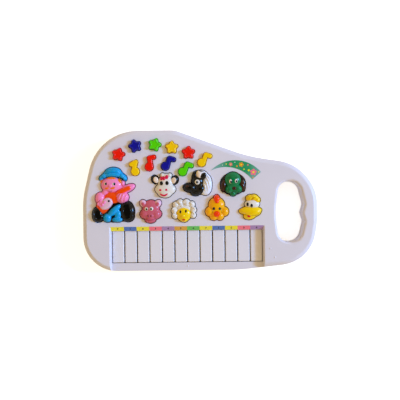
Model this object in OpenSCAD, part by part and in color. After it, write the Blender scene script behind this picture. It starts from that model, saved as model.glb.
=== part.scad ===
// Toy keyboard with a carrying handle. It lies face up: +X runs along the keys,
// +Y points away from the player and +Z up, with the origin under the middle of the base.

/* [Casing] */
// Overall length, left side to handle
case_l = 356; // [350:1:370]
// Overall depth, front edge to back edge
case_w = 214; // [210:1:224]
// Thickness from base to panel
case_h = 36; // [35:0.5:40]
// Height of the seam between the two shells
seam_z = 16; // [14:0.5:17]
// Thickness of the side walls
wall = 2.2; // [1.8:0.1:2.6]
// Thickness of the panel
panel_t = 2.4; // [2:0.1:2.8]
// Thickness of the floor
floor_t = 2.2; // [1.8:0.1:2.6]
// Rounding of the panel's outer edge
edge_r = 7; // [6:0.5:8]
// Rounding of the base's outer edge
base_r = 4; // [3.5:0.5:5]
// Lean of each shell's side walls
draft = 1; // [0.5:0.1:1.5]

/* [Handle] */
// Width of the finger hole
hole_w = 44.5; // [40:0.5:46]
// Length of the finger hole
hole_l = 92; // [86:1:96]
// Width of the grip between the hole and the right side
grip_w = 20.5; // [18:0.5:22]
// Distance from the front edge to the middle of the hole
hole_y = 88; // [86:1:92]
// Distance from one finger hollow to the next
finger_pitch = 26; // [24:0.5:28]
// Depth of the finger hollows
finger_d = 4; // [2:0.5:5]
// Rounding of the hole's rims
rim_r = 4; // [3:0.5:4.5]

/* [Keys] */
// Number of keys
key_n = 12; // [8:2:12]
// Distance from one key to the next
key_pitch = 19; // [17:0.5:19.5]
// Gap between neighbouring keys
key_gap = 1.6; // [1.2:0.1:2]
// Length of a key in front of the number strip
key_l = 47.8; // [44:0.2:48]
// Depth of the key tops under the panel
key_d = 8.5; // [8:0.5:9]
// Height of a key's skirts
key_h = 8.5; // [7.5:0.5:9]
// Thickness of a key's walls
key_wall = 1.6; // [1.2:0.1:2]
// Swing of a key, in degrees
key_swing = 4; // [2:0.5:4.5]
// Clearance around the row of keys
key_room = 0.9; // [0.7:0.1:1.2]
// Middle of the row of keys
key_mid = -20; // [-22:0.5:-18]
// Distance from the front edge to the keys
sill_w = 13.6; // [13:0.2:15]
// Diameter of the hinge rod
rod_d = 3; // [2.5:0.1:3.4]
// Running clearance on the rod, on the radius
rod_gap = 0.05; // [0.03:0.01:0.1]
// Distance from the lower edge of the strip back to the hinge rod
hinge_back = 10.8; // [10:0.2:12]

/* [Number strip] */
// Depth of the strip's slope, seen from above
strip_run = 6.8; // [6:0.2:8]
// Height of the strip's slope
strip_drop = 6.2; // [5.5:0.1:6.4]
// Thickness of the printed labels
label_t = 0.3; // [0.2:0.1:0.4]

/* [Buttons] */
// Travel of a button
press = 2.5; // [1.5:0.1:2.8]
// Gap around a button in its opening
button_gap = 0.9; // [0.7:0.1:1.1]
// Width of the lip that keeps a button in
lip_w = 2; // [1.6:0.1:2.2]
// Thickness of that lip
lip_t = 1.6; // [1.2:0.1:2]
// Play between the lip and the panel
lip_gap = 0.3; // [0.2:0.1:0.5]
// Diameter of the plunger under a button
stem_d = 6; // [5:0.5:7]
// Length of the plunger
stem_l = 3; // [2.5:0.1:3.5]
// Height of a rubber dome when it is pressed flat
dome_flat = 2.5; // [2.5:0.1:2.8]
// Diameter of a rubber dome
dome_d = 9; // [8:0.5:10]
// Radius of a star button over its points
star_r = 10.4; // [9:0.2:11]
// Height of a star button above the panel
star_h = 5; // [4:0.5:6]
// Radius of a note button's head
note_r = 6.1; // [5.5:0.1:6.3]
// Height of a note button above the panel
note_h = 4.5; // [3.5:0.5:5.5]
// Distance from the number strip to the middle of the button field
field_gap = 38.8; // [38:0.2:40]

/* [Inside] */
// Thickness of the circuit boards
board_t = 1.6; // [1.2:0.1:2]
// Diameter of a battery cell
cell_d = 14.5; // [13.5:0.1:14.5]
// Length of a battery cell
cell_l = 50.5; // [44:0.5:50.5]
// Number of battery cells
cell_n = 3; // [2:1:3]
// Diameter of the speaker
speaker_d = 50; // [46:1:52]
// Core diameter of the case screws
screw_d = 2.8; // [2.4:0.1:3]
// Core diameter of the board screws
board_screw_d = 2.2; // [1.8:0.1:2.4]
// Clearance around a screw in its pilot hole, on the radius
screw_gap = 0.05; // [0.03:0.01:0.1]
// Travel of the power switch
switch_travel = 4; // [3:0.5:4]

/* [Hidden] */
$fn = 48;
fine = 96;
over = 1;
arc_steps = 6;
star_steps = 4;
edge_steps = 4;

// Sides of the casing
left = -case_l / 2;
right = case_l / 2;
front = -case_w / 2;
back = case_w / 2;

// Corners of the casing's outline, as [x, y, radius]
case_corners = [
    [left, front, 52],
    [right - 118, front, 300],
    [right - 10, front + 11, 58],
    [right, front + 72, 60],
    [right, back - 92, 62],
    [right - 33, back - 52, 66],
    [right - 104, back - 41, 250],
    [left + 141, back, 38],
    [left + 24, back, 76],
    [left, front + 112, 130]];

// Corners of the finger hole, with two hollows for fingers on its right side
hole_right = right - grip_w;
hole_left = hole_right - hole_w;
hole_mid = front + hole_y;
hole_front = hole_mid - hole_l / 2;
hole_back = hole_mid + hole_l / 2;
ridge_y = hole_mid - 2;
hole_corners = [
    [hole_right - 7.5, hole_front, 18],
    [hole_right, ridge_y - finger_pitch / 2, 10],
    [hole_right - finger_d, ridge_y, 8],
    [hole_right, ridge_y + finger_pitch / 2, 12],
    [hole_right - 8.5, hole_back, 17],
    [hole_left + 6, hole_back, 17],
    [hole_left, hole_mid, 120],
    [hole_left + 5, hole_front, 18]];

// Key row, well and number strip
key_w = key_pitch - key_gap;
row_w = key_n * key_pitch - key_gap;
key_front = front + sill_w;
key_back = key_front + key_l;
key_top = case_h - key_d;
key_base = key_top - key_h;
key_edge = 1;
key_tail = 4.8;
strip_gap = 1;
label_edge = 0.4;
strip_y = key_back + strip_run;
strip_l = norm([strip_run, strip_drop]);
strip_tilt = atan2(strip_drop, strip_run);
sill_z = key_top - 1;
well_ledge = 0.5;
well_lean = 1.6;
slot_w = row_w + 2 * key_room;
well_w = slot_w + 2 * well_ledge;
rod_y = key_back + hinge_back;
rod_z = key_top - 7;
lug_r = rod_d / 2 + 1.9;
lug_w = 8;
post_w = 5;
rod_end = row_w / 2 + 6.5;
key_dome_y = (key_front + key_back) / 2 + 2;
key_dome_h = (rod_y - key_dome_y) * sin(key_swing) + dome_flat;
key_board_z = key_base - key_dome_h;
key_board_w = 20;
key_screw_y = key_dome_y - key_board_w / 2 + 4;

// Buttons, from the panel down to their board
panel_z = case_h - panel_t;
lip_z = panel_z - lip_gap - lip_t;
stem_z = lip_z - stem_l;
dome_h = press + dome_flat;
board_z = stem_z - dome_h;
board_y = rod_y + 6;

// Room from the left side to the finger hole and from the strip to the back, the room that the
// button field was drawn for, and the scale at which the field fits
field_room = [hole_left - left, back - strip_y];
field_drawn = [291, 145.8];
layout = min(field_room.x / field_drawn.x, field_room.y / field_drawn.y);
field_y = strip_y + field_gap * layout;

// Places of the buttons, in the button field
star_at = [[-121.5, 69.5], [-96.5, 82], [-67, 83.5], [-41.5, 79], [-16.5, 71]];
star_tip_r = 2.4;
star_edge = 2;
star_turn = [-14, 18, -18, 0, 0];
star_colours = ["red", "navy", "limegreen", "gold", "red"];
note_at = [[-96.6, 43.8], [-75.6, 50.6], [-51.6, 51.2], [-25.8, 42.6], [2.9, 55.9]];
note_turn = [-24, 27, 0, -4, 0];
note_side = [-1, 1, 1, 1, 1];
note_colours = ["gold", "red", "navy", "limegreen", "gold"];
cow_at = [-52.4, 22.7];
horse_at = [-3.4, 25.5];
dog_at = [49.4, 23.4];
pig_at = [-74, -15.7];
sheep_at = [-24.4, -15.5];
chick_at = [25.1, -11.6];
duck_at = [75.3, -11.5];
figure_at = [-128.6, 9.6];
sticker_at = [53, 8];

// Lobes of the moulded heads, as [x, y, half width, half depth, turn, height]
cow_white = [
    [0.9, 3.6, 11.5, 11.5, 0, 6.5],
    [1, -7.5, 15.9, 11, 0, 7],
    [-3.4, 15, 3.7, 3.7, 0, 5],
    [7.2, 14.6, 3.7, 3.7, 0, 5]];
cow_black = [
    [-14.6, 9, 5.3, 6.6, 25, 4.5],
    [14.8, 7.6, 5.3, 6.6, -25, 4.5]];
horse_black = [
    [-12.2, -6.9, 9.6, 6.8, -8, 6.5],
    [-3.3, -13.4, 7.5, 5.8, 0, 6],
    [3.5, -8.7, 8, 8, 0, 7],
    [0.2, 2.2, 9.5, 10.5, 0, 7.5]];
horse_white = [
    [14.1, -2.3, 7.6, 15.5, 0, 5.5],
    [5.4, 12, 10.5, 7.3, -10, 6],
    [11.5, -11.6, 7.4, 7, 0, 5]];
dog_green = [
    [0.1, 5.6, 12.6, 12.4, 0, 8],
    [1.3, -7, 12.6, 8, 0, 8.5],
    [0.1, -14.3, 4.6, 3.8, 0, 6]];
dog_brown = [
    [-14.8, -2.5, 4.8, 10.3, -6, 5],
    [15.1, -3, 4.6, 10, 6, 5]];
pig_rose = [
    [0.2, 4.2, 13, 12.5, 0, 6.5],
    [-0.1, -4.2, 16.5, 9.5, 0, 6.5],
    [-0.7, -11.9, 7.5, 6.3, 0, 6.5]];
pig_pale = [
    [-11.2, 11.4, 5.2, 6.2, 35, 5],
    [10.6, 11.2, 5.2, 6.2, -35, 5]];
sheep_yellow = [
    [-0.2, -4.9, 11.4, 11.6, 0, 8],
    [0.1, -12.2, 6.5, 5.3, 0, 7]];
sheep_white = [
    [0, 2.5, 12.5, 9, 0, 5],
    [-11.8, 8.8, 5.2, 5.2, 0, 5.5],
    [-5.4, 11.9, 5.4, 5.4, 0, 5.5],
    [4, 12, 5.4, 5.4, 0, 5.5],
    [11.7, 9.1, 5.2, 5.2, 0, 5.5],
    [14, 0.9, 5, 5, 0, 5.5],
    [13.5, -7, 4.8, 4.8, 0, 5.5],
    [-14, -0.2, 5, 5, 0, 5.5],
    [-13.2, -7.6, 4.8, 4.8, 0, 5.5]];
chick_yellow = [
    [-0.4, 3.9, 12.2, 11.6, 0, 7.5],
    [-11.7, -5.8, 6.5, 7.3, 0, 6],
    [12, -6, 6.5, 7.3, 0, 6],
    [-4.8, -12.8, 6.3, 6.5, 0, 6],
    [4.3, -12.7, 6.3, 6.5, 0, 6]];
chick_orange = [
    [-0.2, 12.6, 4.3, 6.9, 0, 7]];
duck_yellow = [
    [-1.9, 14.2, 4.7, 4.7, 0, 6],
    [4.8, 14.4, 4.8, 4.8, 0, 6.5],
    [10.3, 10.8, 4.7, 4.7, 0, 6],
    [0.6, -8.4, 12.4, 7.4, 0, 7.2],
    [-0.2, -5.2, 17.3, 6.7, -3, 7],
    [-1.7, -12.6, 9.5, 6.4, 12, 6]];
duck_white = [
    [2.6, 4.6, 11.4, 7.5, 0, 6.5]];

// Lobes of the seated musician
figure_blue = [
    [-1.4, 33.6, 14.6, 7.9, 0, 8],
    [-1.5, 25.2, 21, 6.2, 4, 7],
    [0, -24, 14.6, 5.5, 42, 8],
    [-10.9, -34.4, 6.9, 6.9, 0, 7],
    [5.3, -29.5, 6.2, 9, 0, 6],
    [4.5, -37, 8.5, 4.5, 0, 6.5]];
figure_pink = [
    [-2.7, 14.5, 17, 12.6, 0, 9],
    [-21.4, -7.5, 7.8, 11.5, 0, 7],
    [12.9, -5.2, 10, 8.6, 20, 8],
    [28.4, 12.7, 4.8, 4.8, 0, 5]];
figure_orange = [
    [-14.4, -15.6, 11.5, 14.5, -35, 6.5],
    [12, 5.2, 19, 4.3, 21, 6],
    [-2, -5, 14, 11, 0, 6]];
figure_black = [
    [-25.3, -29.5, 7.8, 11.6, 0, 5.5],
    [19.8, -26, 10.6, 14.8, 0, 5.5],
    [-1, -20, 21, 16, 0, 4.5]];

// Corners of the plate that holds the musician, as [x, y, radius]
figure_plate_corners = [
    [-35, -43.5, 14],
    [28, -43.5, 12],
    [33, -22, 20],
    [35.5, 10, 8],
    [34, 20, 6],
    [22, 24, 8],
    [19, 43.5, 10],
    [-20, 43.5, 10],
    [-27, 20, 10],
    [-35.5, -12, 30]];

// Circuit boards, battery bay, speaker, switch and fasteners
board_ends = [-142, 94];
board_back = [[94, 38], [16, 58], [-8, 80], [-30, 89], [-110, 89], [-128, 76], [-132, 50], [-142, 40]];
board_corners = concat(
    [for (x = board_ends) [x * layout, board_y - field_y]],
    [for (p = board_back) p * layout]);
board_posts = [[-134, -24], [-7, -25], [88, -24], [18, 50], [-28, 84], [-112, 82], [-26, 6]];
key_post_slots = [-floor(key_n / 3), 0, floor(key_n / 3)];
post_r = 3.6;
pass_gap = 0.3;
screw_head_r = 1.9 * board_screw_d / 2;
screw_head_h = 1.8;
board_screw_l = 8;
bay_at = [-72, 48];
bay_wall = 3;
bay_roof = 0.8;
bay_room = 0.4;
spring_l = 6;
plate_t = 0.4;
bay_l = cell_l + spring_l + 2 * plate_t;
bay_w = cell_n * (cell_d + bay_room) + bay_room;
bay_h = cell_d + 2 * bay_room;
door_gap = 0.3;
door_sunk = 0.2;
door_ledge = 1.5;
door_tab = 12;
door_boss_h = 12;
door_web = 1;
door_head_h = 0.8;
door_screw_y = -bay_w / 2 - door_tab / 2;
speaker_at = [72, 14];
speaker_rib = 2;
speaker_rib_h = 5;
speaker_rim = 1.6;
speaker_h = 9.4;
magnet_h = 6;
grille_d = 3;
grille_pitch = 5;
grille_rings = 3;
speaker_room = 0.3;
speaker_seat_r = speaker_d / 2 + speaker_room;
cone_r = speaker_d / 2 - 6;
magnet_r = speaker_d / 4;
switch_at = [-8, 62];
switch_body_size = [15, 7.5, 5];
switch_block = [6, 4, 2.4];
switch_stem = [3, 2.6];
switch_gap = 0.3;
switch_sunk = 0.5;
boss_r = 4;
boss_grow = 0.6;
sink_r = 3.2;
sink_h = 10;
head_r = 2.8;
head_h = 2;
shank_l = 13;
screw_at = [
    [left + 20, front + 41],
    [left + 38 * layout, back - 47 * layout],
    [(left + 95) * layout, back - 12 * layout],
    [right - 148, back - 39],
    [right - 66, back - 63],
    [right - 30, front + 28],
    [key_mid, front + 7.6]];
lamp_at = [-3, 13];
lamp_r = 2.5;
lamp_l = panel_z - lip_t - lip_gap - board_z;
chip_at = [40, 2];
chip_r = 8;
ribbon_slot = 1.5;
ribbon_w = 12;
ribbon_t = 0.8;
lead_r = 0.7;
lead_sides = 8;
bay_end = bay_at.x * layout + bay_l / 2 + bay_wall;
bay_y = bay_at.y * layout;
speaker_side = speaker_at.x * layout - speaker_seat_r - speaker_rib;
speaker_y = speaker_at.y * layout;
battery_leads_at = [for (y = [bay_y - 6, bay_y - 12])
    [[bay_end, y, 12], [bay_end + 4, y, 12], [bay_end + 9, y, 15], [bay_end + 11, y, board_z - board_t]]];
speaker_leads_at = [for (y = [speaker_y + 2, speaker_y - 2])
    [[speaker_side, y, 6], [speaker_side - 4, y, 6], [speaker_side - 8, y, 12],
        [speaker_side - 9, y, board_z - board_t]]];

animals = ["cow", "horse", "dog", "pig", "sheep", "chick", "duck"];

function key_name(i) = str("key_", i < 10 ? "0" : "", i);
function key_x(i) = key_mid + (i - (key_n + 1) / 2) * key_pitch;
function unit(v) = v / norm(v);

// One rounded corner b between its neighbours a and c, moved inward by inset
function corner_arc(a, b, c, inset, steps) =
    let (
        to_a = unit([a.x - b.x, a.y - b.y]),
        to_c = unit([c.x - b.x, c.y - b.y]),
        half = acos(to_a * to_c) / 2,
        side = sign(to_a.y * to_c.x - to_a.x * to_c.y),
        centre = [b.x, b.y] + unit(to_a + to_c) * b.z / sin(half),
        start = atan2(to_a.x, -to_a.y),
        turn = side * (180 - 2 * half)
    )
    [for (k = [0 : steps])
        let (angle = start + turn * k / steps)
        centre + side * (b.z - side * inset) * [cos(angle), sin(angle)]];

// A closed outline of rounded corners [x, y, radius], moved inward by inset
function outline(corners, inset = 0, steps = arc_steps) =
    let (n = len(corners))
    [for (i = [0 : n - 1])
        each corner_arc(corners[(i + n - 1) % n], corners[i], corners[(i + 1) % n], inset, steps)];

// A solid through copies of an outline, one for each [inset, height]
module loft(corners, levels, steps = arc_steps) {
    rings = [for (level = levels) [for (p = outline(corners, level[0], steps)) [p.x, p.y, level[1]]]];
    n = len(rings[0]);
    m = len(rings);
    middle = [for (axis = [0, 1]) [for (c = corners) c[axis]] * [for (c = corners) 1] / len(corners)];
    sides = [for (j = [0 : m - 2]) for (i = [0 : n - 1])
        let (a = j * n + i, b = j * n + (i + 1) % n)
        each [[a, a + n, b + n], [a, b + n, b]]];
    ends = [for (i = [0 : n - 1])
        let (k = (i + 1) % n, top = (m - 1) * n)
        each [[m * n, i, k], [m * n + 1, top + k, top + i]]];
    polyhedron(
        concat([for (ring = rings) each ring],
            [[middle.x, middle.y, levels[0][1]], [middle.x, middle.y, levels[m - 1][1]]]),
        concat(sides, ends));
}

// A place in the button field
module place(at) {
    translate([at.x * layout, at.y * layout + field_y, 0])
        children();
}

// Levels of the upper shell, outside (skin 0) or inside (skin 1)
function top_levels(skin) =
    let (t = skin * wall, z = case_h - edge_r, rise = edge_r - skin * panel_t, run = edge_r - t)
    concat([[t, seam_z - skin * over]],
        [for (k = [0 : edge_steps])
            let (angle = 90 * k / edge_steps)
            [t + draft + run * (1 - cos(angle)), z + rise * sin(angle)]]);

// Levels of the lower shell, outside (skin 0) or inside (skin 1)
function base_levels(skin) =
    let (t = skin * wall, rise = base_r - skin * floor_t, run = base_r - t)
    concat(
        [for (k = [0 : edge_steps])
            let (angle = 90 * k / edge_steps)
            [t + draft + run * (1 - sin(angle)), base_r - rise * cos(angle)]],
        [[t, seam_z + skin * over]]);

// The finger hole, flared at both rims
module finger_hole() {
    steps = [for (k = [0 : edge_steps]) 90 * k / edge_steps];
    loft(hole_corners, concat(
        [[-rim_r, -over]],
        [for (a = steps) [-rim_r * (1 - sin(a)), rim_r * (1 - cos(a))]],
        [for (a = steps) [-rim_r * (1 - cos(a)), case_h - rim_r + rim_r * sin(a)]],
        [[-rim_r, case_h + over]]));
}

module finger_hole_wall() {
    loft(hole_corners, [[-wall, -over], [-wall, case_h + over]]);
}

// The well that the keys lie in, grown by a wall's thickness for its outside
module key_well(grow) {
    lip_y = key_back + grow;
    lip_top = case_h + ((lip_y - strip_y) * strip_drop - grow * strip_l) / strip_run;
    top_y = strip_y + (grow * strip_l + over * strip_run) / strip_drop;
    top_z = case_h + over;
    floor_z = sill_z - grow;
    open_y = front - over;
    half = well_w / 2 + grow;
    lean = well_lean * (top_z - floor_z) / (case_h - sill_z);
    intersection() {
        translate([left, 0, 0])
            rotate([90, 0, 90])
                linear_extrude(case_l)
                    polygon([[open_y, floor_z], [lip_y, floor_z], [lip_y, lip_top],
                        [top_y, top_z], [open_y, top_z]]);
        translate([key_mid, top_y + over, 0])
            rotate([90, 0, 0])
                linear_extrude(top_y - open_y + 2 * over)
                    polygon([[-half, floor_z], [half, floor_z], [half + lean, top_z], [-half - lean, top_z]]);
    }
}

module key_slot() {
    y = key_front - key_room;
    z = sill_z - wall - over;
    translate([key_mid - slot_w / 2, y, z])
        cube([slot_w, key_back + wall + over - y, key_top + strip_gap - z]);
}

// Footprint of a group of lobes, grown all round
module footprint(lobes, grow) {
    for (lobe = lobes)
        translate([lobe[0], lobe[1]] * layout)
            rotate(lobe[4])
                scale([lobe[2] + grow, lobe[3] + grow] * layout)
                    circle(1);
}

// Domes of a group of lobes above the panel, with straight sides down to a base
module relief(lobes, base_z = lip_z) {
    for (lobe = lobes)
        translate([lobe[0] * layout, lobe[1] * layout, case_h])
            rotate(lobe[4])
                scale([lobe[2] * layout / lobe[5], lobe[3] * layout / lobe[5], 1])
                    rotate_extrude($fn = fine)
                        union() {
                            intersection() {
                                circle(lobe[5], $fn = fine);
                                square(lobe[5]);
                            }
                            translate([0, base_z - case_h])
                                square([lobe[5], case_h - base_z]);
                        }
}

// A bead set into a head: eye, nose, snout or beak
module bead(x, y, z, half_w, half_d, half_h) {
    translate([x * layout, y * layout, case_h + z])
        scale([half_w * layout / half_h, half_d * layout / half_h, 1])
            sphere(half_h);
}

module stem() {
    translate([0, 0, stem_z])
        cylinder(h = stem_l + lip_t, d = stem_d);
}

// Lip and plunger under a moulded head
module head_base(lobes) {
    translate([0, 0, lip_z])
        linear_extrude(lip_t)
            footprint(lobes, lip_w);
    stem();
}

star_points = [for (k = [0 : 9])
    let (r = k % 2 == 0 ? star_r * 1.12 : star_r * 0.62, a = 90 + 36 * k)
    [r * cos(a), r * sin(a), k % 2 == 0 ? star_tip_r : lip_w + 0.6] * layout];

module star_button(i) {
    top = case_h + star_h;
    color(star_colours[i])
        place(star_at[i])
            rotate(star_turn[i]) {
                loft(star_points, [[0, lip_z], [0, top - star_edge],
                    [star_edge * 0.3 * layout, top - star_edge * 0.3],
                    [star_edge * layout, top]], star_steps);
                translate([0, 0, lip_z])
                    linear_extrude(lip_t)
                        polygon(outline(star_points, -lip_w * layout, star_steps));
                stem();
            }
}

// Side view of an eighth note: head, stem and flag
module note_outline(i, grow) {
    r = note_r * layout;
    neck = r * 0.52 + grow * layout;
    tip = [note_side[i] * r * 1.03, r * 1.92];
    flag = [note_side[i] * r * 2.06, r * 1.6];
    foot = note_side[i] * r * 0.46;
    circle(r + grow * layout);
    polygon([[foot - neck, 0], [foot + neck, 0], [tip.x + neck, tip.y], [tip.x - neck, tip.y]]);
    translate(tip)
        circle(neck);
    translate((tip + flag) / 2)
        rotate(atan2(flag.y - tip.y, flag.x - tip.x))
            square([norm(flag - tip), 2 * neck * 0.94], center = true);
    translate(flag)
        circle(neck);
}

module note_button(i) {
    color(note_colours[i])
        place(note_at[i])
            rotate(note_turn[i]) {
                translate([0, 0, lip_z])
                    linear_extrude(case_h + note_h - lip_z)
                        note_outline(i, 0);
                translate([0, 0, lip_z])
                    linear_extrude(lip_t)
                        note_outline(i, lip_w);
                stem();
            }
}

module cow_button() {
    place(cow_at) {
        color("white") relief(cow_white);
        color("black") relief(cow_black);
        color("white") head_base(concat(cow_white, cow_black));
        color("crimson") bead(-0.9, 10.5, 5.4, 6.4, 3, 1.8);
        color("black") bead(-4.6, 3, 6, 2.2, 2.6, 1.4);
        color("black") bead(3.6, 3.1, 6, 2.2, 2.6, 1.4);
    }
}

module horse_button() {
    place(horse_at) {
        color("black") relief(horse_black);
        color("white") relief(horse_white);
        color("black") head_base(concat(horse_black, horse_white));
        color("black") bead(8.6, 8.5, 5.2, 3.6, 5.2, 2.2);
        color("white") bead(-0.1, 1, 7, 3.6, 3.6, 1.5);
    }
}

module dog_button() {
    place(dog_at) {
        color("darkgreen") relief(dog_green);
        color("saddlebrown") relief(dog_brown);
        color("darkgreen") head_base(concat(dog_green, dog_brown));
        color("saddlebrown") bead(1.8, -7.8, 8, 2.8, 2.6, 1.8);
        color("white") bead(-3.1, 3.8, 7.2, 2.7, 3.2, 1.4);
        color("white") bead(5.3, 3.7, 6.8, 2.7, 3.2, 1.4);
    }
}

module pig_button() {
    place(pig_at) {
        color("palevioletred") relief(pig_rose);
        color("pink") relief(pig_pale);
        color("palevioletred") head_base(concat(pig_rose, pig_pale));
        color("palevioletred") bead(-0.7, -8, 5.6, 8, 6.6, 3);
        color("white") bead(-5.9, 3.4, 5.6, 2.9, 2.9, 1.4);
        color("white") bead(2.1, 3.1, 6.1, 2.9, 2.9, 1.4);
    }
}

module sheep_button() {
    place(sheep_at) {
        color("gold") relief(sheep_yellow);
        color("white") relief(sheep_white);
        color("gold") head_base(concat(sheep_yellow, sheep_white));
        color("gold") bead(-1.3, -8.2, 7.2, 3.4, 2.6, 1.8);
    }
}

module chick_button() {
    place(chick_at) {
        color("orange") relief(chick_yellow);
        color("orangered") relief(chick_orange);
        color("orange") head_base(concat(chick_yellow, chick_orange));
        color("orangered") bead(-0.4, -9.8, 5, 5.4, 5.4, 3.6);
    }
}

module duck_button() {
    place(duck_at) {
        color("gold") relief(duck_yellow);
        color("white") relief(duck_white);
        color("gold") head_base(concat(duck_yellow, duck_white));
        color("white") bead(-4.7, 5, 5, 3.6, 4, 2.6);
        color("white") bead(1.6, 3.4, 5.4, 3.6, 4, 2.6);
    }
}

// The musician is fixed: it is glued to a plate that lies under the panel
module musician_figure() {
    place(figure_at) {
        color("dodgerblue") relief(figure_blue, panel_z);
        color("hotpink") relief(figure_pink, panel_z);
        color("orangered") relief(figure_orange, panel_z);
        color("black") relief(figure_black, panel_z);
    }
}

module figure_plate() {
    color("white")
        place(figure_at)
            translate([0, 0, panel_z - lip_t])
                linear_extrude(lip_t)
                    polygon(outline([for (c = figure_plate_corners) c * layout]));
}

// Everything that looks out through the panel
module panel_openings() {
    translate([0, 0, panel_z - over])
        linear_extrude(panel_t + 2 * over)
            translate([0, field_y]) {
                for (i = [0 : len(star_at) - 1])
                    translate(star_at[i] * layout)
                        rotate(star_turn[i])
                            polygon(outline(star_points, -button_gap * layout, star_steps));
                for (i = [0 : len(note_at) - 1])
                    translate(note_at[i] * layout)
                        rotate(note_turn[i])
                            note_outline(i, button_gap);
                translate(cow_at * layout) footprint(concat(cow_white, cow_black), button_gap);
                translate(horse_at * layout) footprint(concat(horse_black, horse_white), button_gap);
                translate(dog_at * layout) footprint(concat(dog_green, dog_brown), button_gap);
                translate(pig_at * layout) footprint(concat(pig_rose, pig_pale), button_gap);
                translate(sheep_at * layout) footprint(concat(sheep_yellow, sheep_white), button_gap);
                translate(chick_at * layout) footprint(concat(chick_yellow, chick_orange), button_gap);
                translate(duck_at * layout) footprint(concat(duck_yellow, duck_white), button_gap);
                translate(figure_at * layout)
                    footprint(concat(figure_blue, figure_pink, figure_orange, figure_black), button_gap / 2);
            }
}

module top_shell() {
    color("white")
        difference() {
            union() {
                difference() {
                    loft(case_corners, top_levels(0));
                    difference() {
                        loft(case_corners, top_levels(1));
                        finger_hole_wall();
                        key_well(wall);
                    }
                }
                for (at = screw_at)
                    translate([at.x, at.y, seam_z])
                        cylinder(h = panel_z - seam_z + over, r = boss_r);
            }
            key_well(0);
            key_slot();
            finger_hole();
            panel_openings();
            for (at = screw_at)
                translate([at.x, at.y, seam_z - over])
                    cylinder(h = shank_l - seam_z + sink_h + 2 * over, d = screw_d + 2 * screw_gap);
        }
}

// Post from the floor up to a board, with a pilot hole for its screw
module post(height) {
    difference() {
        cylinder(h = height, r = post_r);
        translate([0, 0, height - board_screw_l])
            cylinder(h = board_screw_l + over, d = board_screw_d + 2 * screw_gap);
    }
}

function rod_posts() = concat(
    [-rod_end + post_w / 2],
    [for (k = [-3, 0, 3]) k * key_pitch],
    [rod_end - post_w / 2]);

module rod_post(x) {
    translate([key_mid + x - post_w / 2, rod_y, 0])
        rotate([90, 0, 90])
            difference() {
                linear_extrude(post_w)
                    union() {
                        translate([-lug_r, floor_t - over])
                            square([2 * lug_r, rod_z - floor_t + over]);
                        translate([0, rod_z])
                            circle(lug_r);
                    }
                translate([0, rod_z, -over])
                    cylinder(h = post_w + 2 * over, d = rod_d + 2 * rod_gap);
            }
}

// Walls and roof of the battery bay, with the boss for its door screw
module battery_bay() {
    place(bay_at) {
        difference() {
            translate([-bay_l / 2 - bay_wall, -bay_w / 2 - bay_wall, floor_t - over])
                cube([bay_l + 2 * bay_wall, bay_w + 2 * bay_wall, bay_h + bay_roof + over]);
            translate([-bay_l / 2, -bay_w / 2, -over])
                cube([bay_l, bay_w, floor_t + bay_h + over]);
        }
        translate([0, door_screw_y, floor_t - over])
            cylinder(h = door_boss_h, r = boss_r);
    }
}

module door_plate(grow, height) {
    l = bay_l + 2 * door_ledge + 2 * grow;
    w = bay_w + 2 * door_ledge + 2 * grow;
    translate([-l / 2, -w / 2, 0])
        cube([l, w, height]);
    translate([-door_tab / 2 - grow, door_screw_y - door_tab / 2 - grow, 0])
        cube([door_tab + 2 * grow, door_tab, height]);
}

module speaker_grille() {
    for (ring = [0 : grille_rings])
        for (k = [0 : max(0, 6 * ring - 1)])
            rotate(k * 60 / max(1, ring))
                translate([ring * grille_pitch, 0, -over])
                    cylinder(h = floor_t + 2 * over, d = grille_d);
}

module bottom_shell() {
    color("white")
        difference() {
            union() {
                difference() {
                    loft(case_corners, base_levels(0));
                    difference() {
                        loft(case_corners, base_levels(1));
                        finger_hole_wall();
                    }
                }
                for (at = screw_at)
                    translate([at.x, at.y, floor_t - over])
                        cylinder(h = seam_z - floor_t + over, r = boss_r + boss_grow);
                for (at = board_posts)
                    place(at)
                        translate([0, 0, floor_t - over])
                            post(board_z - board_t - floor_t + over);
                for (k = key_post_slots)
                    translate([key_mid + k * key_pitch, key_screw_y, floor_t - over])
                        post(key_board_z - board_t - floor_t + over);
                for (x = rod_posts())
                    rod_post(x);
                battery_bay();
                place(speaker_at)
                    difference() {
                        translate([0, 0, floor_t - over])
                            cylinder(h = speaker_rib_h + over, r = speaker_seat_r + speaker_rib);
                        translate([0, 0, floor_t - 2 * over])
                            cylinder(h = speaker_rib_h + 4 * over, r = speaker_seat_r);
                    }
            }
            finger_hole();
            place(bay_at) {
                translate([0, 0, -over])
                    door_plate(door_gap, floor_t + over);
                translate([-bay_l / 2, -bay_w / 2, 0])
                    cube([bay_l, bay_w, floor_t + over]);
                translate([0, door_screw_y, -over])
                    cylinder(h = door_boss_h, d = board_screw_d + 2 * screw_gap);
            }
            place(speaker_at)
                speaker_grille();
            place(switch_at)
                switch_slot();
            for (at = screw_at)
                translate([at.x, at.y, -over]) {
                    cylinder(h = sink_h + over, r = sink_r);
                    cylinder(h = seam_z + 2 * over, d = screw_d + 2 * pass_gap);
                }
        }
}

module number_strip() {
    color("khaki")
        translate([key_mid - slot_w / 2, strip_y, case_h])
            rotate([180 + strip_tilt, 0, 0])
                translate([0, label_edge, -label_t])
                    cube([slot_w, strip_l - 2 * label_edge, label_t]);
}

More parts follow.
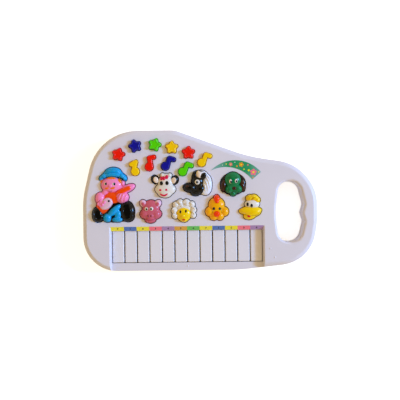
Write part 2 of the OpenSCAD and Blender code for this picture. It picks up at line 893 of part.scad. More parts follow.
// An arched label: a ring's arc that narrows to a point on the left
module panel_sticker() {
    reach = 51;
    inner = 50.3;
    shift = [-13.9, -9.2];
    color("mediumseagreen")
        place(sticker_at)
            translate([0, 0, case_h])
                linear_extrude(label_t)
                    intersection() {
                        difference() {
                            circle(reach * layout);
                            translate(shift * layout)
                                circle(inner * layout);
                        }
                        polygon([[0, 0], [2 * reach, 1.7 * reach], [0, 2 * reach], [-2 * reach, 2 * reach]]);
                    }
}

// One key: a hollow cap with a lug on the hinge rod and a plunger over its rubber dome
module key(i) {
    tail_y = key_back + key_tail;
    color("white")
        translate([key_x(i), 0, 0])
            difference() {
                union() {
                    difference() {
                        key_block(key_w / 2, key_front, tail_y, key_top, key_edge);
                        translate([0, 0, -over])
                            key_block(key_w / 2 - key_wall, key_front + key_wall, tail_y - key_wall,
                                key_top - key_wall + over, 0);
                    }
                    translate([0, key_dome_y, key_base])
                        cylinder(h = key_h - key_wall / 2, d = stem_d);
                    translate([-lug_w / 2, rod_y, rod_z])
                        rotate([0, 90, 0])
                            cylinder(h = lug_w, r = lug_r);
                    translate([-lug_w / 2, tail_y - key_wall, key_base])
                        cube([lug_w, rod_y - tail_y + key_wall, rod_z + lug_r - key_base]);
                }
                translate([-lug_w / 2 - over, rod_y, rod_z])
                    rotate([0, 90, 0])
                        cylinder(h = lug_w + 2 * over, d = rod_d + 2 * rod_gap);
            }
}

// A block with its upper edges cut back, from the front edge to the tail
module key_block(half, y0, y1, top, edge) {
    intersection() {
        translate([0, y1, 0])
            rotate([90, 0, 0])
                linear_extrude(y1 - y0)
                    polygon([[-half, key_base], [half, key_base], [half, top - edge], [half - edge, top],
                        [edge - half, top], [-half, top - edge]]);
        translate([-half, 0, 0])
            rotate([90, 0, 90])
                linear_extrude(2 * half)
                    polygon([[y0, key_base], [y1, key_base], [y1, top], [y0 + edge, top], [y0, top - edge]]);
    }
}

module key_hinge_rod() {
    color("silver")
        translate([key_mid - rod_end, rod_y, rod_z])
            rotate([0, 90, 0])
                cylinder(h = 2 * rod_end, d = rod_d);
}

module board_hole(at, z) {
    translate([at.x, at.y, z - board_t - over])
        cylinder(h = board_t + 2 * over, d = board_screw_d + 2 * pass_gap);
}

module key_board() {
    color("peru")
        difference() {
            translate([key_mid - row_w / 2, key_dome_y - key_board_w / 2, key_board_z - board_t])
                cube([row_w, key_board_w, board_t]);
            for (k = key_post_slots)
                board_hole([key_mid + k * key_pitch, key_screw_y], key_board_z);
        }
}

module button_board() {
    color("peru")
        translate([0, field_y, 0])
            difference() {
                translate([0, 0, board_z - board_t])
                    linear_extrude(board_t)
                        polygon(board_corners);
                for (at = board_posts)
                    board_hole(at * layout, board_z);
            }
}

module dome(z, height) {
    translate([0, 0, z])
        cylinder(h = height, d1 = dome_d, d2 = stem_d);
}

module key_domes() {
    color("gray")
        for (i = [1 : key_n])
            translate([key_x(i), key_dome_y, 0])
                dome(key_board_z, key_dome_h);
}

module button_domes() {
    heads = [cow_at, horse_at, dog_at, pig_at, sheep_at, chick_at, duck_at];
    color("gray")
        for (at = concat(heads, star_at, note_at))
            place(at)
                dome(board_z, dome_h);
}

module board_screw(z) {
    translate([0, 0, z])
        cylinder(h = screw_head_h, r = screw_head_r);
    translate([0, 0, z - board_screw_l + over])
        cylinder(h = board_screw_l, d = board_screw_d);
}

module board_screws() {
    color("silver") {
        for (at = board_posts)
            place(at)
                board_screw(board_z);
        for (k = key_post_slots)
            translate([key_mid + k * key_pitch, key_screw_y, 0])
                board_screw(key_board_z);
    }
}

// Flat ribbon from the key board, under the hinge rod, to the button board
module board_ribbon() {
    y0 = key_dome_y + key_board_w / 2 - 3;
    y1 = board_y + 4;
    z0 = key_board_z;
    z1 = board_z - board_t;
    color("lightgray")
        translate([key_mid + ribbon_slot * key_pitch - ribbon_w / 2, 0, 0])
            rotate([90, 0, 90])
                linear_extrude(ribbon_w)
                    polygon([[y0, z0], [y1, z0], [y1, z1], [y1 - ribbon_t, z1],
                        [y1 - ribbon_t, z0 + ribbon_t], [y0, z0 + ribbon_t]]);
}

module sound_chip() {
    color("black")
        place(chip_at)
            translate([0, 0, board_z])
                rotate_extrude()
                    polygon([[0, 0], [chip_r, 0], [chip_r - 1.2, 1.4], [chip_r / 2, 2.2], [0, 2.4]]);
}

module figure_lamp() {
    color("lightyellow")
        place(figure_at + lamp_at)
            translate([0, 0, board_z])
                rotate_extrude()
                    union() {
                        square([lamp_r, lamp_l - lamp_r]);
                        translate([0, lamp_l - lamp_r])
                            intersection() {
                                circle(lamp_r);
                                square(lamp_r);
                            }
                    }
}

module speaker_part(points) {
    place(speaker_at)
        translate([0, 0, floor_t])
            rotate_extrude()
                polygon(points);
}

module speaker_frame() {
    r = speaker_d / 2;
    color("dimgray")
        speaker_part([[cone_r, 0], [r, 0], [r, speaker_rim], [cone_r + 3, speaker_rim],
            [magnet_r + 1, speaker_h], [0, speaker_h], [0, speaker_h - 1], [magnet_r + 0.4, speaker_h - 1],
            [cone_r + 1.8, speaker_rim], [cone_r, speaker_rim]]);
}

module speaker_cone() {
    color("black")
        speaker_part([[cone_r, speaker_rim], [cone_r + 0.9, speaker_rim], [cone_r + 0.9, speaker_rim + 0.6],
            [6, speaker_h - 2], [0, speaker_h - 1.4], [0, speaker_h - 2.2], [6, speaker_h - 2.7]]);
}

module speaker_magnet() {
    color("silver")
        speaker_part([[0, speaker_h], [magnet_r, speaker_h], [magnet_r, speaker_h + magnet_h],
            [0, speaker_h + magnet_h]]);
}

function cell_y(i) = (i - (cell_n - 1) / 2) * (cell_d + bay_room);

module at_cell(i) {
    place(bay_at)
        translate([0, cell_y(i), floor_t + bay_room + cell_d / 2])
            rotate([0, 90, 0])
                children();
}

module battery_cells() {
    nub_l = 1;
    color("steelblue")
        for (i = [0 : cell_n - 1])
            at_cell(i)
                translate([0, 0, bay_l / 2 - plate_t - cell_l])
                    union() {
                        cylinder(h = cell_l - nub_l, d = cell_d);
                        cylinder(h = cell_l, d = cell_d * 0.38);
                    }
}

module battery_springs() {
    color("silver")
        for (i = [0 : cell_n - 1])
            at_cell(i)
                translate([0, 0, plate_t - bay_l / 2])
                    cylinder(h = spring_l, d1 = cell_d * 0.7, d2 = cell_d * 0.4);
}

module battery_plates() {
    color("silver")
        for (i = [0 : cell_n - 1])
            for (end = [-bay_l / 2, bay_l / 2 - plate_t])
                at_cell(i)
                    translate([-cell_d * 0.4, -cell_d * 0.4, end])
                        cube([cell_d * 0.8, cell_d * 0.8, plate_t]);
}

module battery_door() {
    color("white")
        place(bay_at)
            difference() {
                translate([0, 0, door_sunk])
                    door_plate(0, floor_t - door_sunk);
                translate([0, door_screw_y, 0])
                    cylinder(h = floor_t + over, d = board_screw_d + 2 * pass_gap);
                translate([0, door_screw_y, 0])
                    cylinder(h = floor_t - door_web, r = screw_head_r + pass_gap);
            }
}

module battery_door_screw() {
    color("silver")
        place(bay_at)
            translate([0, door_screw_y, floor_t - door_web]) {
                translate([0, 0, -door_head_h])
                    cylinder(h = door_head_h, r = screw_head_r);
                cylinder(h = board_screw_l, d = board_screw_d);
            }
}

module case_screws() {
    color("silver")
        for (at = screw_at)
            translate([at.x, at.y, sink_h - head_h]) {
                cylinder(h = head_h, r = head_r);
                cylinder(h = head_h + shank_l, d = screw_d);
            }
}

// The slider moves along X between the two ends of its slot
module switch_slot() {
    l = switch_stem.x + switch_travel + 2 * switch_gap;
    w = switch_stem.y + 2 * switch_gap;
    translate([-switch_travel / 2 - switch_stem.x / 2 - switch_gap, -w / 2, -over])
        cube([l, w, floor_t + 2 * over]);
}

module switch_body() {
    l = switch_block.x + switch_travel + 2 * switch_gap;
    w = switch_block.y + 2 * switch_gap;
    color("dimgray")
        place(switch_at)
            translate([0, 0, floor_t])
                difference() {
                    translate([-switch_body_size.x / 2, -switch_body_size.y / 2, 0])
                        cube(switch_body_size);
                    translate([-l / 2, -w / 2, -over])
                        cube([l, w, switch_block.z + 2 * switch_gap + over]);
                }
}

module switch_knob() {
    color("black")
        place(switch_at)
            translate([-switch_travel / 2, 0, 0]) {
                translate([-switch_block.x / 2, -switch_block.y / 2, floor_t + switch_gap])
                    cube(switch_block);
                translate([-switch_stem.x / 2, -switch_stem.y / 2, switch_sunk])
                    cube([switch_stem.x, switch_stem.y, floor_t + switch_gap - switch_sunk + over]);
            }
}

// A smooth path through its points
function curve(p, steps) =
    concat([for (i = [0 : len(p) - 2]) for (k = [0 : steps - 1])
        let (
            a = p[max(i - 1, 0)], b = p[i], c = p[i + 1], d = p[min(i + 2, len(p) - 1)],
            t = k / steps
        )
        b + t * ((c - a) / 2 + t * (a - 2.5 * b + 2 * c - d / 2 + t * (1.5 * (b - c) + (d - a) / 2)))],
        [p[len(p) - 1]]);

// A wire along a path that never runs straight along Y
module wire(points) {
    path = curve(points, 4);
    n = len(path);
    rings = [for (i = [0 : n - 1])
        let (
            ahead = i == 0 ? points[1] - points[0] : i == n - 1 ? [0, 0, 1] : path[i + 1] - path[i - 1],
            along = unit(ahead),
            side = unit(cross(along, [0, 1, 0])),
            up = cross(side, along)
        )
        [for (k = [0 : lead_sides - 1])
            let (a = 360 * k / lead_sides)
            path[i] + lead_r * (cos(a) * side + sin(a) * up)]];
    s = lead_sides;
    polyhedron(
        [for (ring = rings) each ring],
        concat(
            [[for (k = [0 : s - 1]) k]],
            [[for (k = [0 : s - 1]) (n - 1) * s + s - 1 - k]],
            [for (i = [0 : n - 2]) for (k = [0 : s - 1])
                let (a = i * s + k, b = i * s + (k + 1) % s)
                each [[a, a + s, b + s], [a, b + s, b]]]));
}

module battery_leads() {
    color("red")
        translate([0, field_y, 0])
            for (points = battery_leads_at)
                wire(points);
}

module speaker_leads() {
    color("black")
        translate([0, field_y, 0])
            for (points = speaker_leads_at)
                wire(points);
}

top_shell();
bottom_shell();
musician_figure();
figure_plate();
panel_sticker();
number_strip();
for (i = [1 : key_n])
    key(i);
cow_button();
horse_button();
dog_button();
pig_button();
sheep_button();
chick_button();
duck_button();
for (i = [1 : len(star_at)])
    star_button(i - 1);
for (i = [1 : len(note_at)])
    note_button(i - 1);
key_hinge_rod();
key_board();
key_domes();
button_board();
button_domes();
board_screws();
board_ribbon();
sound_chip();
figure_lamp();
speaker_frame();
speaker_cone();
speaker_magnet();
speaker_leads();
battery_cells();
battery_springs();
battery_plates();
battery_leads();
battery_door();
battery_door_screw();
case_screws();
switch_body();
switch_knob();
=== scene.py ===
import bmesh
import bpy
from math import acos, atan, atan2, cos, hypot, pi, radians, sin, sqrt
from mathutils import Matrix, Vector


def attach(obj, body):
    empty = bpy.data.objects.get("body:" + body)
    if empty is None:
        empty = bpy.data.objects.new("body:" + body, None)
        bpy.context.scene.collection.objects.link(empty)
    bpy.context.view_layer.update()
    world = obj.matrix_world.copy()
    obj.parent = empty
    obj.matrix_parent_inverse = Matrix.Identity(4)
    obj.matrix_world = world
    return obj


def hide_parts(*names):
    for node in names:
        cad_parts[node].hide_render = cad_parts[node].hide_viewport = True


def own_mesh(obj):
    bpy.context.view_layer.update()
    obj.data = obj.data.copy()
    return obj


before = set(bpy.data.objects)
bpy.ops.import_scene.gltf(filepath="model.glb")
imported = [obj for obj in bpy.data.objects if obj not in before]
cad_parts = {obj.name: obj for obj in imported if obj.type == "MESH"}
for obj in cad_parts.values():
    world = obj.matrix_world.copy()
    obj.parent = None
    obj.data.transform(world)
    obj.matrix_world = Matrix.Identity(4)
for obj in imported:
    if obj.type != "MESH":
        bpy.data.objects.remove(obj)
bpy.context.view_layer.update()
scene = bpy.context.scene
scene.view_settings.view_transform = "Standard"
mm = 0.001  # sizes below are in millimetres, those of the lamps in metres

photoView = {"high": 926, "panel": 36, "across": 600, "roll": -0.7, "sensor": 36, "near": 10}


def placeCamera(plan):  # straight down, as wide as "across" at the height of the panel
    lens = bpy.data.cameras.new("photo_lens")
    lens.sensor_width = plan["sensor"]
    lens.angle = 2 * atan(plan["across"] / 2 / (plan["high"] - plan["panel"]))
    lens.clip_start = plan["near"] * mm
    camera = bpy.data.objects.new("photo_camera", lens)
    camera.location = (0, 0, plan["high"] * mm)
    camera.rotation_euler = (0, 0, radians(plan["roll"]))
    scene.collection.objects.link(camera)
    scene.camera = camera


def linear(hexText):  # sRGB hex to the linear colour that sockets take
    parts = [int(hexText[i:i + 2], 16) / 255 for i in (0, 2, 4)]
    return [c / 12.92 if c <= 0.04045 else ((c + 0.055) / 1.055) ** 2.4 for c in parts] + [1]


def addNode(tree, kind, sockets=None, **settings):  # one node with its settings, values and links
    node = tree.nodes.new("ShaderNode" + kind)
    for name, value in settings.items():
        setattr(node, name, value)
    for key, value in (sockets or {}).items():
        if isinstance(value, bpy.types.NodeSocket):
            tree.links.new(value, node.inputs[key])
        else:
            node.inputs[key].default_value = value
    return node


def emptyTree(holder):  # node tree of a material or a world, with nothing in it
    holder.use_nodes = True
    holder.node_tree.nodes.clear()
    return holder.node_tree


studioLight = {
    "window": {"place": (4.88, 0.8, 2.72), "width": 1.12, "power": 342, "colour": "7CBAFF"},
    "pane": {"place": (2.3, 0.75, 1.9), "width": 0.3, "power": 7, "colour": "FFF6EA"},
    "room": {"colour": "FFE4B0", "strength": 0.83, "left": 0.86, "right": 1.02,
             "ceiling": 0.12, "eaves": (0.87, 0.97)},  # share of the light overhead, and where it fades
    "backdrop": {"colour": "FFFFFF", "fade": (0.35, 0.5)},  # white low down, gone higher up
    "floor": {"colour": "C4AA82", "seen": "F4F4F4", "glow": "FFFFFF", "own": 0.7,
              "width": 4000, "below": 0.3}}


def seenDirectly(tree):  # 1 for what the camera, a reflection or a clear part looks at
    rays = addNode(tree, "LightPath")
    direct = addNode(tree, "Math", {0: rays.outputs["Is Camera Ray"], 1: rays.outputs["Is Glossy Ray"]},
                     operation="MAXIMUM")
    seen = addNode(tree, "Math", {0: direct.outputs[0], 1: rays.outputs["Is Transmission Ray"]},
                   operation="MAXIMUM")
    return seen.outputs[0]


def hangLamps(plan):
    for name in ("window", "pane"):
        lamp = bpy.data.lights.new(name, "AREA")
        lamp.shape = "DISK"
        lamp.size = plan[name]["width"]
        lamp.energy = plan[name]["power"]
        lamp.color = linear(plan[name]["colour"])[:3]
        holder = bpy.data.objects.new(name, lamp)
        holder.location = plan[name]["place"]
        holder.rotation_euler = (-Vector(plan[name]["place"])).to_track_quat("-Z", "Y").to_euler()
        scene.collection.objects.link(holder)


def paintRoom(room, backdrop):
    eaves, fade = room["eaves"], backdrop["fade"]
    scene.world = bpy.data.worlds.new("room")
    tree = emptyTree(scene.world)
    where = addNode(tree, "TexCoord")
    way = addNode(tree, "SeparateXYZ", {0: where.outputs["Generated"]})
    across = addNode(tree, "MapRange", {
        "Value": way.outputs["X"], "From Min": -1.0, "From Max": 1.0,
        "To Min": room["strength"] * room["left"], "To Max": room["strength"] * room["right"]})
    above = addNode(tree, "MapRange", {  # a dim ceiling keeps a grey veil off the flat tops
        "Value": way.outputs["Z"], "From Min": eaves[0], "From Max": eaves[1],
        "To Min": 1.0, "To Max": room["ceiling"]}, interpolation_type="SMOOTHSTEP")
    level = addNode(tree, "Math", {0: across.outputs["Result"], 1: above.outputs["Result"]},
                    operation="MULTIPLY")
    light = addNode(tree, "Background", {"Color": linear(room["colour"]), "Strength": level.outputs[0]})
    wall = addNode(tree, "Background", {"Color": linear(backdrop["colour"]), "Strength": 1.0})
    low = addNode(tree, "MapRange", {
        "Value": way.outputs["Z"], "From Min": fade[0], "From Max": fade[1],
        "To Min": 1.0, "To Max": 0.0})
    shown = addNode(tree, "Math", {0: seenDirectly(tree), 1: low.outputs["Result"]}, operation="MULTIPLY")
    pick = addNode(tree, "MixShader", {0: shown.outputs[0], 1: light.outputs[0], 2: wall.outputs[0]})
    addNode(tree, "OutputWorld", {"Surface": pick.outputs[0]})


def layFloor(plan):
    half, level = plan["width"] / 2 * mm, -plan["below"] * mm
    sheet = bpy.data.meshes.new("floor")
    sheet.from_pydata([(x * half, y * half, level) for x, y in ((-1, -1), (1, -1), (1, 1), (-1, 1))],
                      [], [(0, 1, 2, 3)])
    floor = bpy.data.objects.new("floor", sheet)
    scene.collection.objects.link(floor)
    paper = bpy.data.materials.new("white_paper")  # matt paper: bright and even, keeps a soft shadow
    tree = emptyTree(paper)
    matt = addNode(tree, "BsdfDiffuse", {"Color": linear(plan["colour"])})
    pale = addNode(tree, "BsdfDiffuse", {"Color": linear(plan["seen"])})
    glow = addNode(tree, "Emission", {"Color": linear(plan["glow"]), "Strength": plan["own"]})
    both = addNode(tree, "AddShader", {0: pale.outputs[0], 1: glow.outputs[0]})
    pick = addNode(tree, "MixShader", {0: seenDirectly(tree), 1: matt.outputs[0], 2: both.outputs[0]})
    addNode(tree, "OutputMaterial", {"Surface": pick.outputs[0]})
    sheet.materials.append(paper)


placeCamera(photoView)
hangLamps(studioLight)
paintRoom(studioLight["room"], studioLight["backdrop"])
layFloor(studioLight["floor"])
print("camera and studio set")

finishes = {}
# the cloud wears the gloss between "least" and "most" of its value, bump is how strong the grain looks
surface = {"from": 0.3, "to": 0.7, "least": 0.88, "most": 1.14, "bump": 0.35}


def plastic(name, colour, rough, cloud, shift, grain, deep, ior=1.53, gloss=0.5, metal=0.0):
    # cloud and grain are sizes in millimetres, shift the share of darker colour, deep the grain's depth
    material = bpy.data.materials.new(name)
    tree = emptyTree(material)
    base = linear(colour)
    dark = [c * (1 - shift) for c in base[:3]] + [1]
    where = addNode(tree, "TexCoord")
    flow = addNode(tree, "TexNoise", {
        "Vector": where.outputs["Object"], "Scale": 1000 / cloud, "Detail": 3.0, "Roughness": 0.55})
    tint = addNode(tree, "Mix", {0: flow.outputs["Fac"], 6: dark, 7: base}, data_type="RGBA")
    pits = addNode(tree, "TexNoise", {
        "Vector": where.outputs["Object"], "Scale": 1000 / grain, "Detail": 2.0, "Roughness": 0.5})
    wear = addNode(tree, "MapRange", {
        "Value": flow.outputs["Fac"], "From Min": surface["from"], "From Max": surface["to"],
        "To Min": rough * surface["least"], "To Max": rough * surface["most"]})
    relief = addNode(tree, "Bump", {
        "Strength": surface["bump"], "Distance": deep * mm, "Height": pits.outputs["Fac"]})
    shader = addNode(tree, "BsdfPrincipled", {
        "Base Color": tint.outputs[2], "Roughness": wear.outputs["Result"], "IOR": ior,
        "Metallic": metal, "Specular IOR Level": gloss, "Normal": relief.outputs["Normal"]})
    addNode(tree, "OutputMaterial", {"Surface": shader.outputs[0]})
    finishes[name] = material


# moulded ABS with a spark-eroded skin: milky white, wide soft highlight, grain drawn large so that it shows
plastic("casing_abs", "E2DDE7", 0.40, 60, 0.05, 0.9, 0.035, 1.53, 0.35)
# polished ABS: the same white, a tighter highlight and almost no grain
plastic("key_abs", "EAE6ED", 0.26, 35, 0.04, 1.4, 0.02)
# ABS of the battery door, moulded apart: a shade greyer and duller
plastic("bay_abs", "D4CFD8", 0.45, 40, 0.05, 0.9, 0.04)
# through-coloured ABS of the small buttons: strong even colour, waxy highlight
for colourName, colourHex in (
        ("red", "FA1800"), ("blue", "0C0C92"), ("green", "58DC00"), ("yellow", "FFD000")):
    plastic("button_abs_" + colourName, colourHex, 0.30, 14, 0.07, 1.0, 0.02, 1.53, 0.3)
# enamel sprayed on ABS heads: deep colour and a wet highlight, a little thinner in places
# the crease_shade_ enamels are darker copies of head colours, laid in creases and slits as painted shade;
# milk is a lighter, bluer copy of the white, painted light on the horse's mane
for colourName, colourHex, roughness in (
        ("white", "EAE2D8", 0.24), ("milk", "ECECF4", 0.24), ("crimson", "DE1048", 0.26),
        ("cream", "F0D8C0", 0.26), ("green", "007A44", 0.20), ("dark_green", "02502C", 0.26),
        ("brown", "3C1C0A", 0.20), ("rose", "D05E72", 0.22), ("dark_rose", "8A2846", 0.26),
        ("pale_pink", "EBBCCE", 0.24), ("lemon", "FCD200", 0.22), ("amber", "FFB400", 0.22),
        ("vermilion", "FF4200", 0.22), ("sky", "00A0E0", 0.22), ("pink", "FF8CC0", 0.22),
        ("deep_pink", "C23A72", 0.28), ("orange", "FF4E00", 0.22), ("ginger", "FF7E14", 0.26),
        ("red", "D8140C", 0.24), ("mustard", "C8A000", 0.28), ("grey", "9A9A9A", 0.24)):
    plastic("enamel_" + colourName, colourHex, roughness, 10, 0.08, 1.2, 0.015, 1.5, 0.28)
# black enamel: the same, with a sharper glint
plastic("enamel_black", "080808", 0.15, 10, 0.08, 1.2, 0.015, 1.5, 0.3)
# inks on a glossy film: flat colour, smooth sheet
for colourName, colourHex in (
        ("yellow", "FAEE22"), ("blue", "4A74C6"), ("pink", "FF7A92"), ("purple", "AE8AC4"),
        ("orange", "E4AA34"), ("green", "66CC58"), ("black", "0C0C0C"), ("white", "F0EEF0"),
        ("rose", "F0708A"), ("amber", "F09A28")):
    plastic("ink_" + colourName, colourHex, 0.33, 6, 0.05, 0.8, 0.008, 1.49)
print("plastics mixed:", len(finishes))


def cornerArc(a, b, c, inset, steps):  # one rounded corner b between a and c, moved inward
    toA = Vector((a[0] - b[0], a[1] - b[1])).normalized()
    toC = Vector((c[0] - b[0], c[1] - b[1])).normalized()
    half = acos(max(-1, min(1, toA.dot(toC)))) / 2
    side = 1 if toA.y * toC.x - toA.x * toC.y > 0 else -1
    middle = Vector((b[0], b[1])) + (toA + toC).normalized() * b[2] / sin(half)
    start = atan2(toA.x, -toA.y)
    turn = side * (pi - 2 * half)
    reach = side * (b[2] - side * inset)
    ways = [start + turn * k / steps for k in range(steps + 1)]
    return [(middle.x + reach * cos(w), middle.y + reach * sin(w)) for w in ways]


def outlineOf(corners, inset=0.0, steps=14):  # closed outline of rounded corners (x, y, radius)
    n = len(corners)
    return [p for i in range(n)
            for p in cornerArc(corners[i - 1], corners[i], corners[(i + 1) % n], inset, steps)]


def loftOf(rings):  # closed skin through rings of (x, y, z), capped at both ends
    n = len(rings[0])
    points = [p for ring in rings for p in ring]
    faces = [(j * n + i, j * n + (i + 1) % n, (j + 1) * n + (i + 1) % n, (j + 1) * n + i)
             for j in range(len(rings) - 1) for i in range(n)]
    top = (len(rings) - 1) * n
    return points, faces + [tuple(reversed(range(n))), tuple(range(top, top + n))]


def solidOf(name, points, faces, weld=0.0):  # object of its own, with points closer than weld made one
    mesh = bpy.data.meshes.new(name)
    mesh.from_pydata([(x * mm, y * mm, z * mm) for x, y, z in points], [], faces)
    shape = bmesh.new()
    shape.from_mesh(mesh)
    if weld:
        bmesh.ops.remove_doubles(shape, verts=shape.verts, dist=weld * mm)
    bmesh.ops.recalc_face_normals(shape, faces=shape.faces)
    shape.to_mesh(mesh)
    shape.free()
    thing = bpy.data.objects.new(name, mesh)
    scene.collection.objects.link(thing)
    return thing


def levelled(corners, levels, steps=14):  # solid through outlines at (inset, height)
    return loftOf([[(x, y, z) for x, y in outlineOf(corners, inset, steps)] for inset, z in levels])


def gathered(shells):  # several closed skins as one list of points and faces
    points, faces = [], []
    for somePoints, someFaces in shells:
        faces += [tuple(len(points) + i for i in face) for face in someFaces]
        points += somePoints
    return points, faces


def skinOf(mesh):  # points in millimetres and faces of a mesh
    return [tuple(v.co / mm) for v in mesh.vertices], [tuple(p.vertices) for p in mesh.polygons]


def dropThing(thing):
    mesh = thing.data
    bpy.data.objects.remove(thing)
    bpy.data.meshes.remove(mesh)


def bakeShape(thing):  # keeps what the modifiers make and drops them
    bpy.context.view_layer.update()
    made = bpy.data.meshes.new_from_object(thing.evaluated_get(bpy.context.evaluated_depsgraph_get()))
    old = thing.data
    thing.modifiers.clear()
    thing.data = made
    made.name = thing.name
    if old.users == 0:
        bpy.data.meshes.remove(old)
    return thing


def combine(thing, tool, how="DIFFERENCE"):
    step = thing.modifiers.new("combine", "BOOLEAN")
    step.operation = how
    step.solver = "MANIFOLD"
    step.object = tool
    bakeShape(thing)
    dropThing(tool)


def joined(name, tools):  # union of several solids
    whole = tools[0]
    whole.name = name
    for tool in tools[1:]:
        combine(whole, tool, "UNION")
    return whole


def smoothOver(thing, angle, weighted=True):
    thing.data.polygons.foreach_set("use_smooth", [True] * len(thing.data.polygons))
    thing.data.set_sharp_from_angle(angle=radians(angle))
    if weighted:
        step = thing.modifiers.new("even_faces", "WEIGHTED_NORMAL")
        step.keep_sharp = True
        step.weight = 80
    return thing


def settle(thing, body, finish, slot, *nodes):  # finish, body, slot (not used) and the nodes that a piece stands for
    if finish:
        thing.data.materials.clear()
        thing.data.materials.append(finishes[finish])
    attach(thing, body)
    if nodes:
        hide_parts(*nodes)


# past is how far a cutting tool runs beyond the surface that it cuts
casing = {"length": 356, "depth": 214, "high": 36, "seam": 16, "wall": 2.2, "panel": 2.4, "edge": 7,
          "bevel": 1.35, "edgeSteps": 12, "draft": 1, "rim": 4, "rimSteps": (8, 10), "parting": 0.35,
          "weld": 0.002, "past": 1}
left, right = -casing["length"] / 2, casing["length"] / 2
front, back = -casing["depth"] / 2, casing["depth"] / 2
caseCorners = [(left, front, 52), (right - 118, front, 300), (right - 10, front + 11, 58),
               (right, front + 72, 60), (right, back - 92, 62), (right - 33, back - 52, 66),
               (right - 104, back - 41, 250), (left + 141, back, 38), (left + 24, back, 76),
               (left, front + 112, 130)]
holeCorners = [(150, -65, 18), (157.5, -34, 10), (153.5, -21, 8), (157.5, -8, 12), (149, 27, 17),
               (119, 27, 17), (113, -19, 120), (118, -65, 18)]
keyRow = {"count": 12, "pitch": 19, "wide": 17.4, "front": -93.4, "back": -45.6, "tail": -40.8, "top": 27.5,
          "base": 19, "middle": -20, "edge": 1.25, "edgeSteps": 5, "corner": 1.5, "cornerSteps": 6}
keyWell = {"wide": 229.2, "lean": 1.6, "sill": 26.5, "sillThick": 3.2, "stripBack": -38.8, "stripLow": 29.8,
           "rearWall": 1.35, "frontRound": 0.5, "rearRound": 1.6, "over": 3, "lip": 0.8, "lipSteps": 4,
           "slot": 228.2, "slotGap": 0.9, "slotBack": -42.4, "slotDeep": 5, "slotTop": 28.5}
starPlan = {"at": [(-121.5, 69.5), (-96.5, 82), (-67, 83.5), (-41.5, 79), (-16.5, 71)],
            "turn": [-14, 18, -18, 0, 0], "colour": ["red", "blue", "green", "yellow", "red"],
            "reach": 11.0, "tip": (1.12, 2.3), "notch": (0.57, 2.2), "high": 5, "edge": 2.0, "steps": 6,
            "dish": [(0.93, 0), (0.86, 0.15), (0.80, 0.5), (0.5, 0.62)]}  # share of the rim, depth
notePlan = {"at": [(-96.6, 43.8), (-75.6, 50.6), (-51.6, 51.2), (-25.8, 42.6), (2.9, 55.9)],
            "turn": [-24, 27, 0, -4, 0], "side": [-1, 1, 1, 1, 1],
            "colour": ["yellow", "red", "blue", "green", "yellow"], "head": 6.1, "high": 4.5, "edge": 1.5,
            "neck": 0.52, "foot": 0.46, "tip": (1.03, 1.92), "flag": (2.06, 1.6),
            "bent": {0: ((0.84, 2.2), (1.55, 1.2))}}
buttonGap = {"round": 0.9, "chamfer": 0.45, "deep": 8, "past": 2, "edgeSteps": 6,
             "lip": 31.7, "lipThick": 1.6, "lipWide": 2, "stem": 28.7, "stemWide": 6}


def bends(steps):  # angles of a quarter turn
    return [pi / 2 * k / steps for k in range(steps + 1)]


def allRound(steps):  # angles of a full turn
    return [2 * pi * k / steps for k in range(steps)]


def roundEdge(high, edge, steps):  # inset and height along a rounded upper edge
    return [(edge * (1 - cos(a)), high - edge * (1 - sin(a))) for a in bends(steps)]


def turned(point, degrees, at):
    c, s = cos(radians(degrees)), sin(radians(degrees))
    return (at[0] + point[0] * c - point[1] * s, at[1] + point[0] * s + point[1] * c)


def keyAt(i):  # middle of key i, from the left
    return keyRow["middle"] + (i - (keyRow["count"] - 1) / 2) * keyRow["pitch"]


def topLevels(layer):  # outer skin 0, inner skin 1 of the upper half
    t = layer * casing["wall"]
    rise, run = casing["edge"] - layer * casing["panel"], casing["edge"] - t
    shoulder = casing["high"] - casing["edge"]
    if layer:
        low = [(t, casing["seam"] - casing["past"])]
    else:
        low = [(casing["parting"], casing["seam"]), (0, casing["seam"] + casing["parting"])]
    bevel = casing["bevel"]  # 1 is a round edge, more is nearer to a flat chamfer
    return low + [(t + casing["draft"] + run * (1 - cos(a) ** bevel), shoulder + rise * sin(a) ** bevel)
                  for a in bends(casing["edgeSteps"])]


def wellRing(z, grow=0.0, flare=0.0):  # outline of the key well at one height
    up = (z - keyWell["sill"]) / (casing["high"] - keyWell["sill"])
    slope = max(0, (z - keyWell["stripLow"]) / (casing["high"] - keyWell["stripLow"]))
    half = keyWell["wide"] / 2 + keyWell["lean"] * up + grow + flare
    rear = keyRow["back"] + (keyWell["stripBack"] - keyRow["back"]) * slope
    rear += grow * keyWell["rearWall"] + flare
    mid, near = keyRow["middle"], front - keyWell["over"]
    corners = [(mid - half, near, keyWell["frontRound"]), (mid + half, near, keyWell["frontRound"]),
               (mid + half, rear, keyWell["rearRound"]), (mid - half, rear, keyWell["rearRound"])]
    return [(x, y, z) for x, y in outlineOf(corners, steps=6)]


def boxOf(low, high):
    x0, y0, z0 = low
    x1, y1, z1 = high
    return loftOf([[(x0, y0, z), (x1, y0, z), (x1, y1, z), (x0, y1, z)] for z in (z0, z1)])


def holeLevels():  # flared finger hole
    rim, high, past = casing["rim"], casing["high"], casing["past"]
    lower, upper = casing["rimSteps"]
    return [(-rim, -past)] + [(-rim * (1 - sin(a)), rim * (1 - cos(a))) for a in bends(lower)] + [
        (-rim * (1 - cos(a)), high - rim + rim * sin(a)) for a in bends(upper)] + [(-rim, high + past)]


def ellipseRing(at, lobe, grow, z, share=1.0, steps=44):
    x, y, halfWide, halfDeep, turn = lobe[:5]
    middle, wide, deep = (at[0] + x, at[1] + y), (halfWide + grow) * share, (halfDeep + grow) * share
    return [turned((wide * cos(w), deep * sin(w)), turn, middle) + (z,) for w in allRound(steps)]


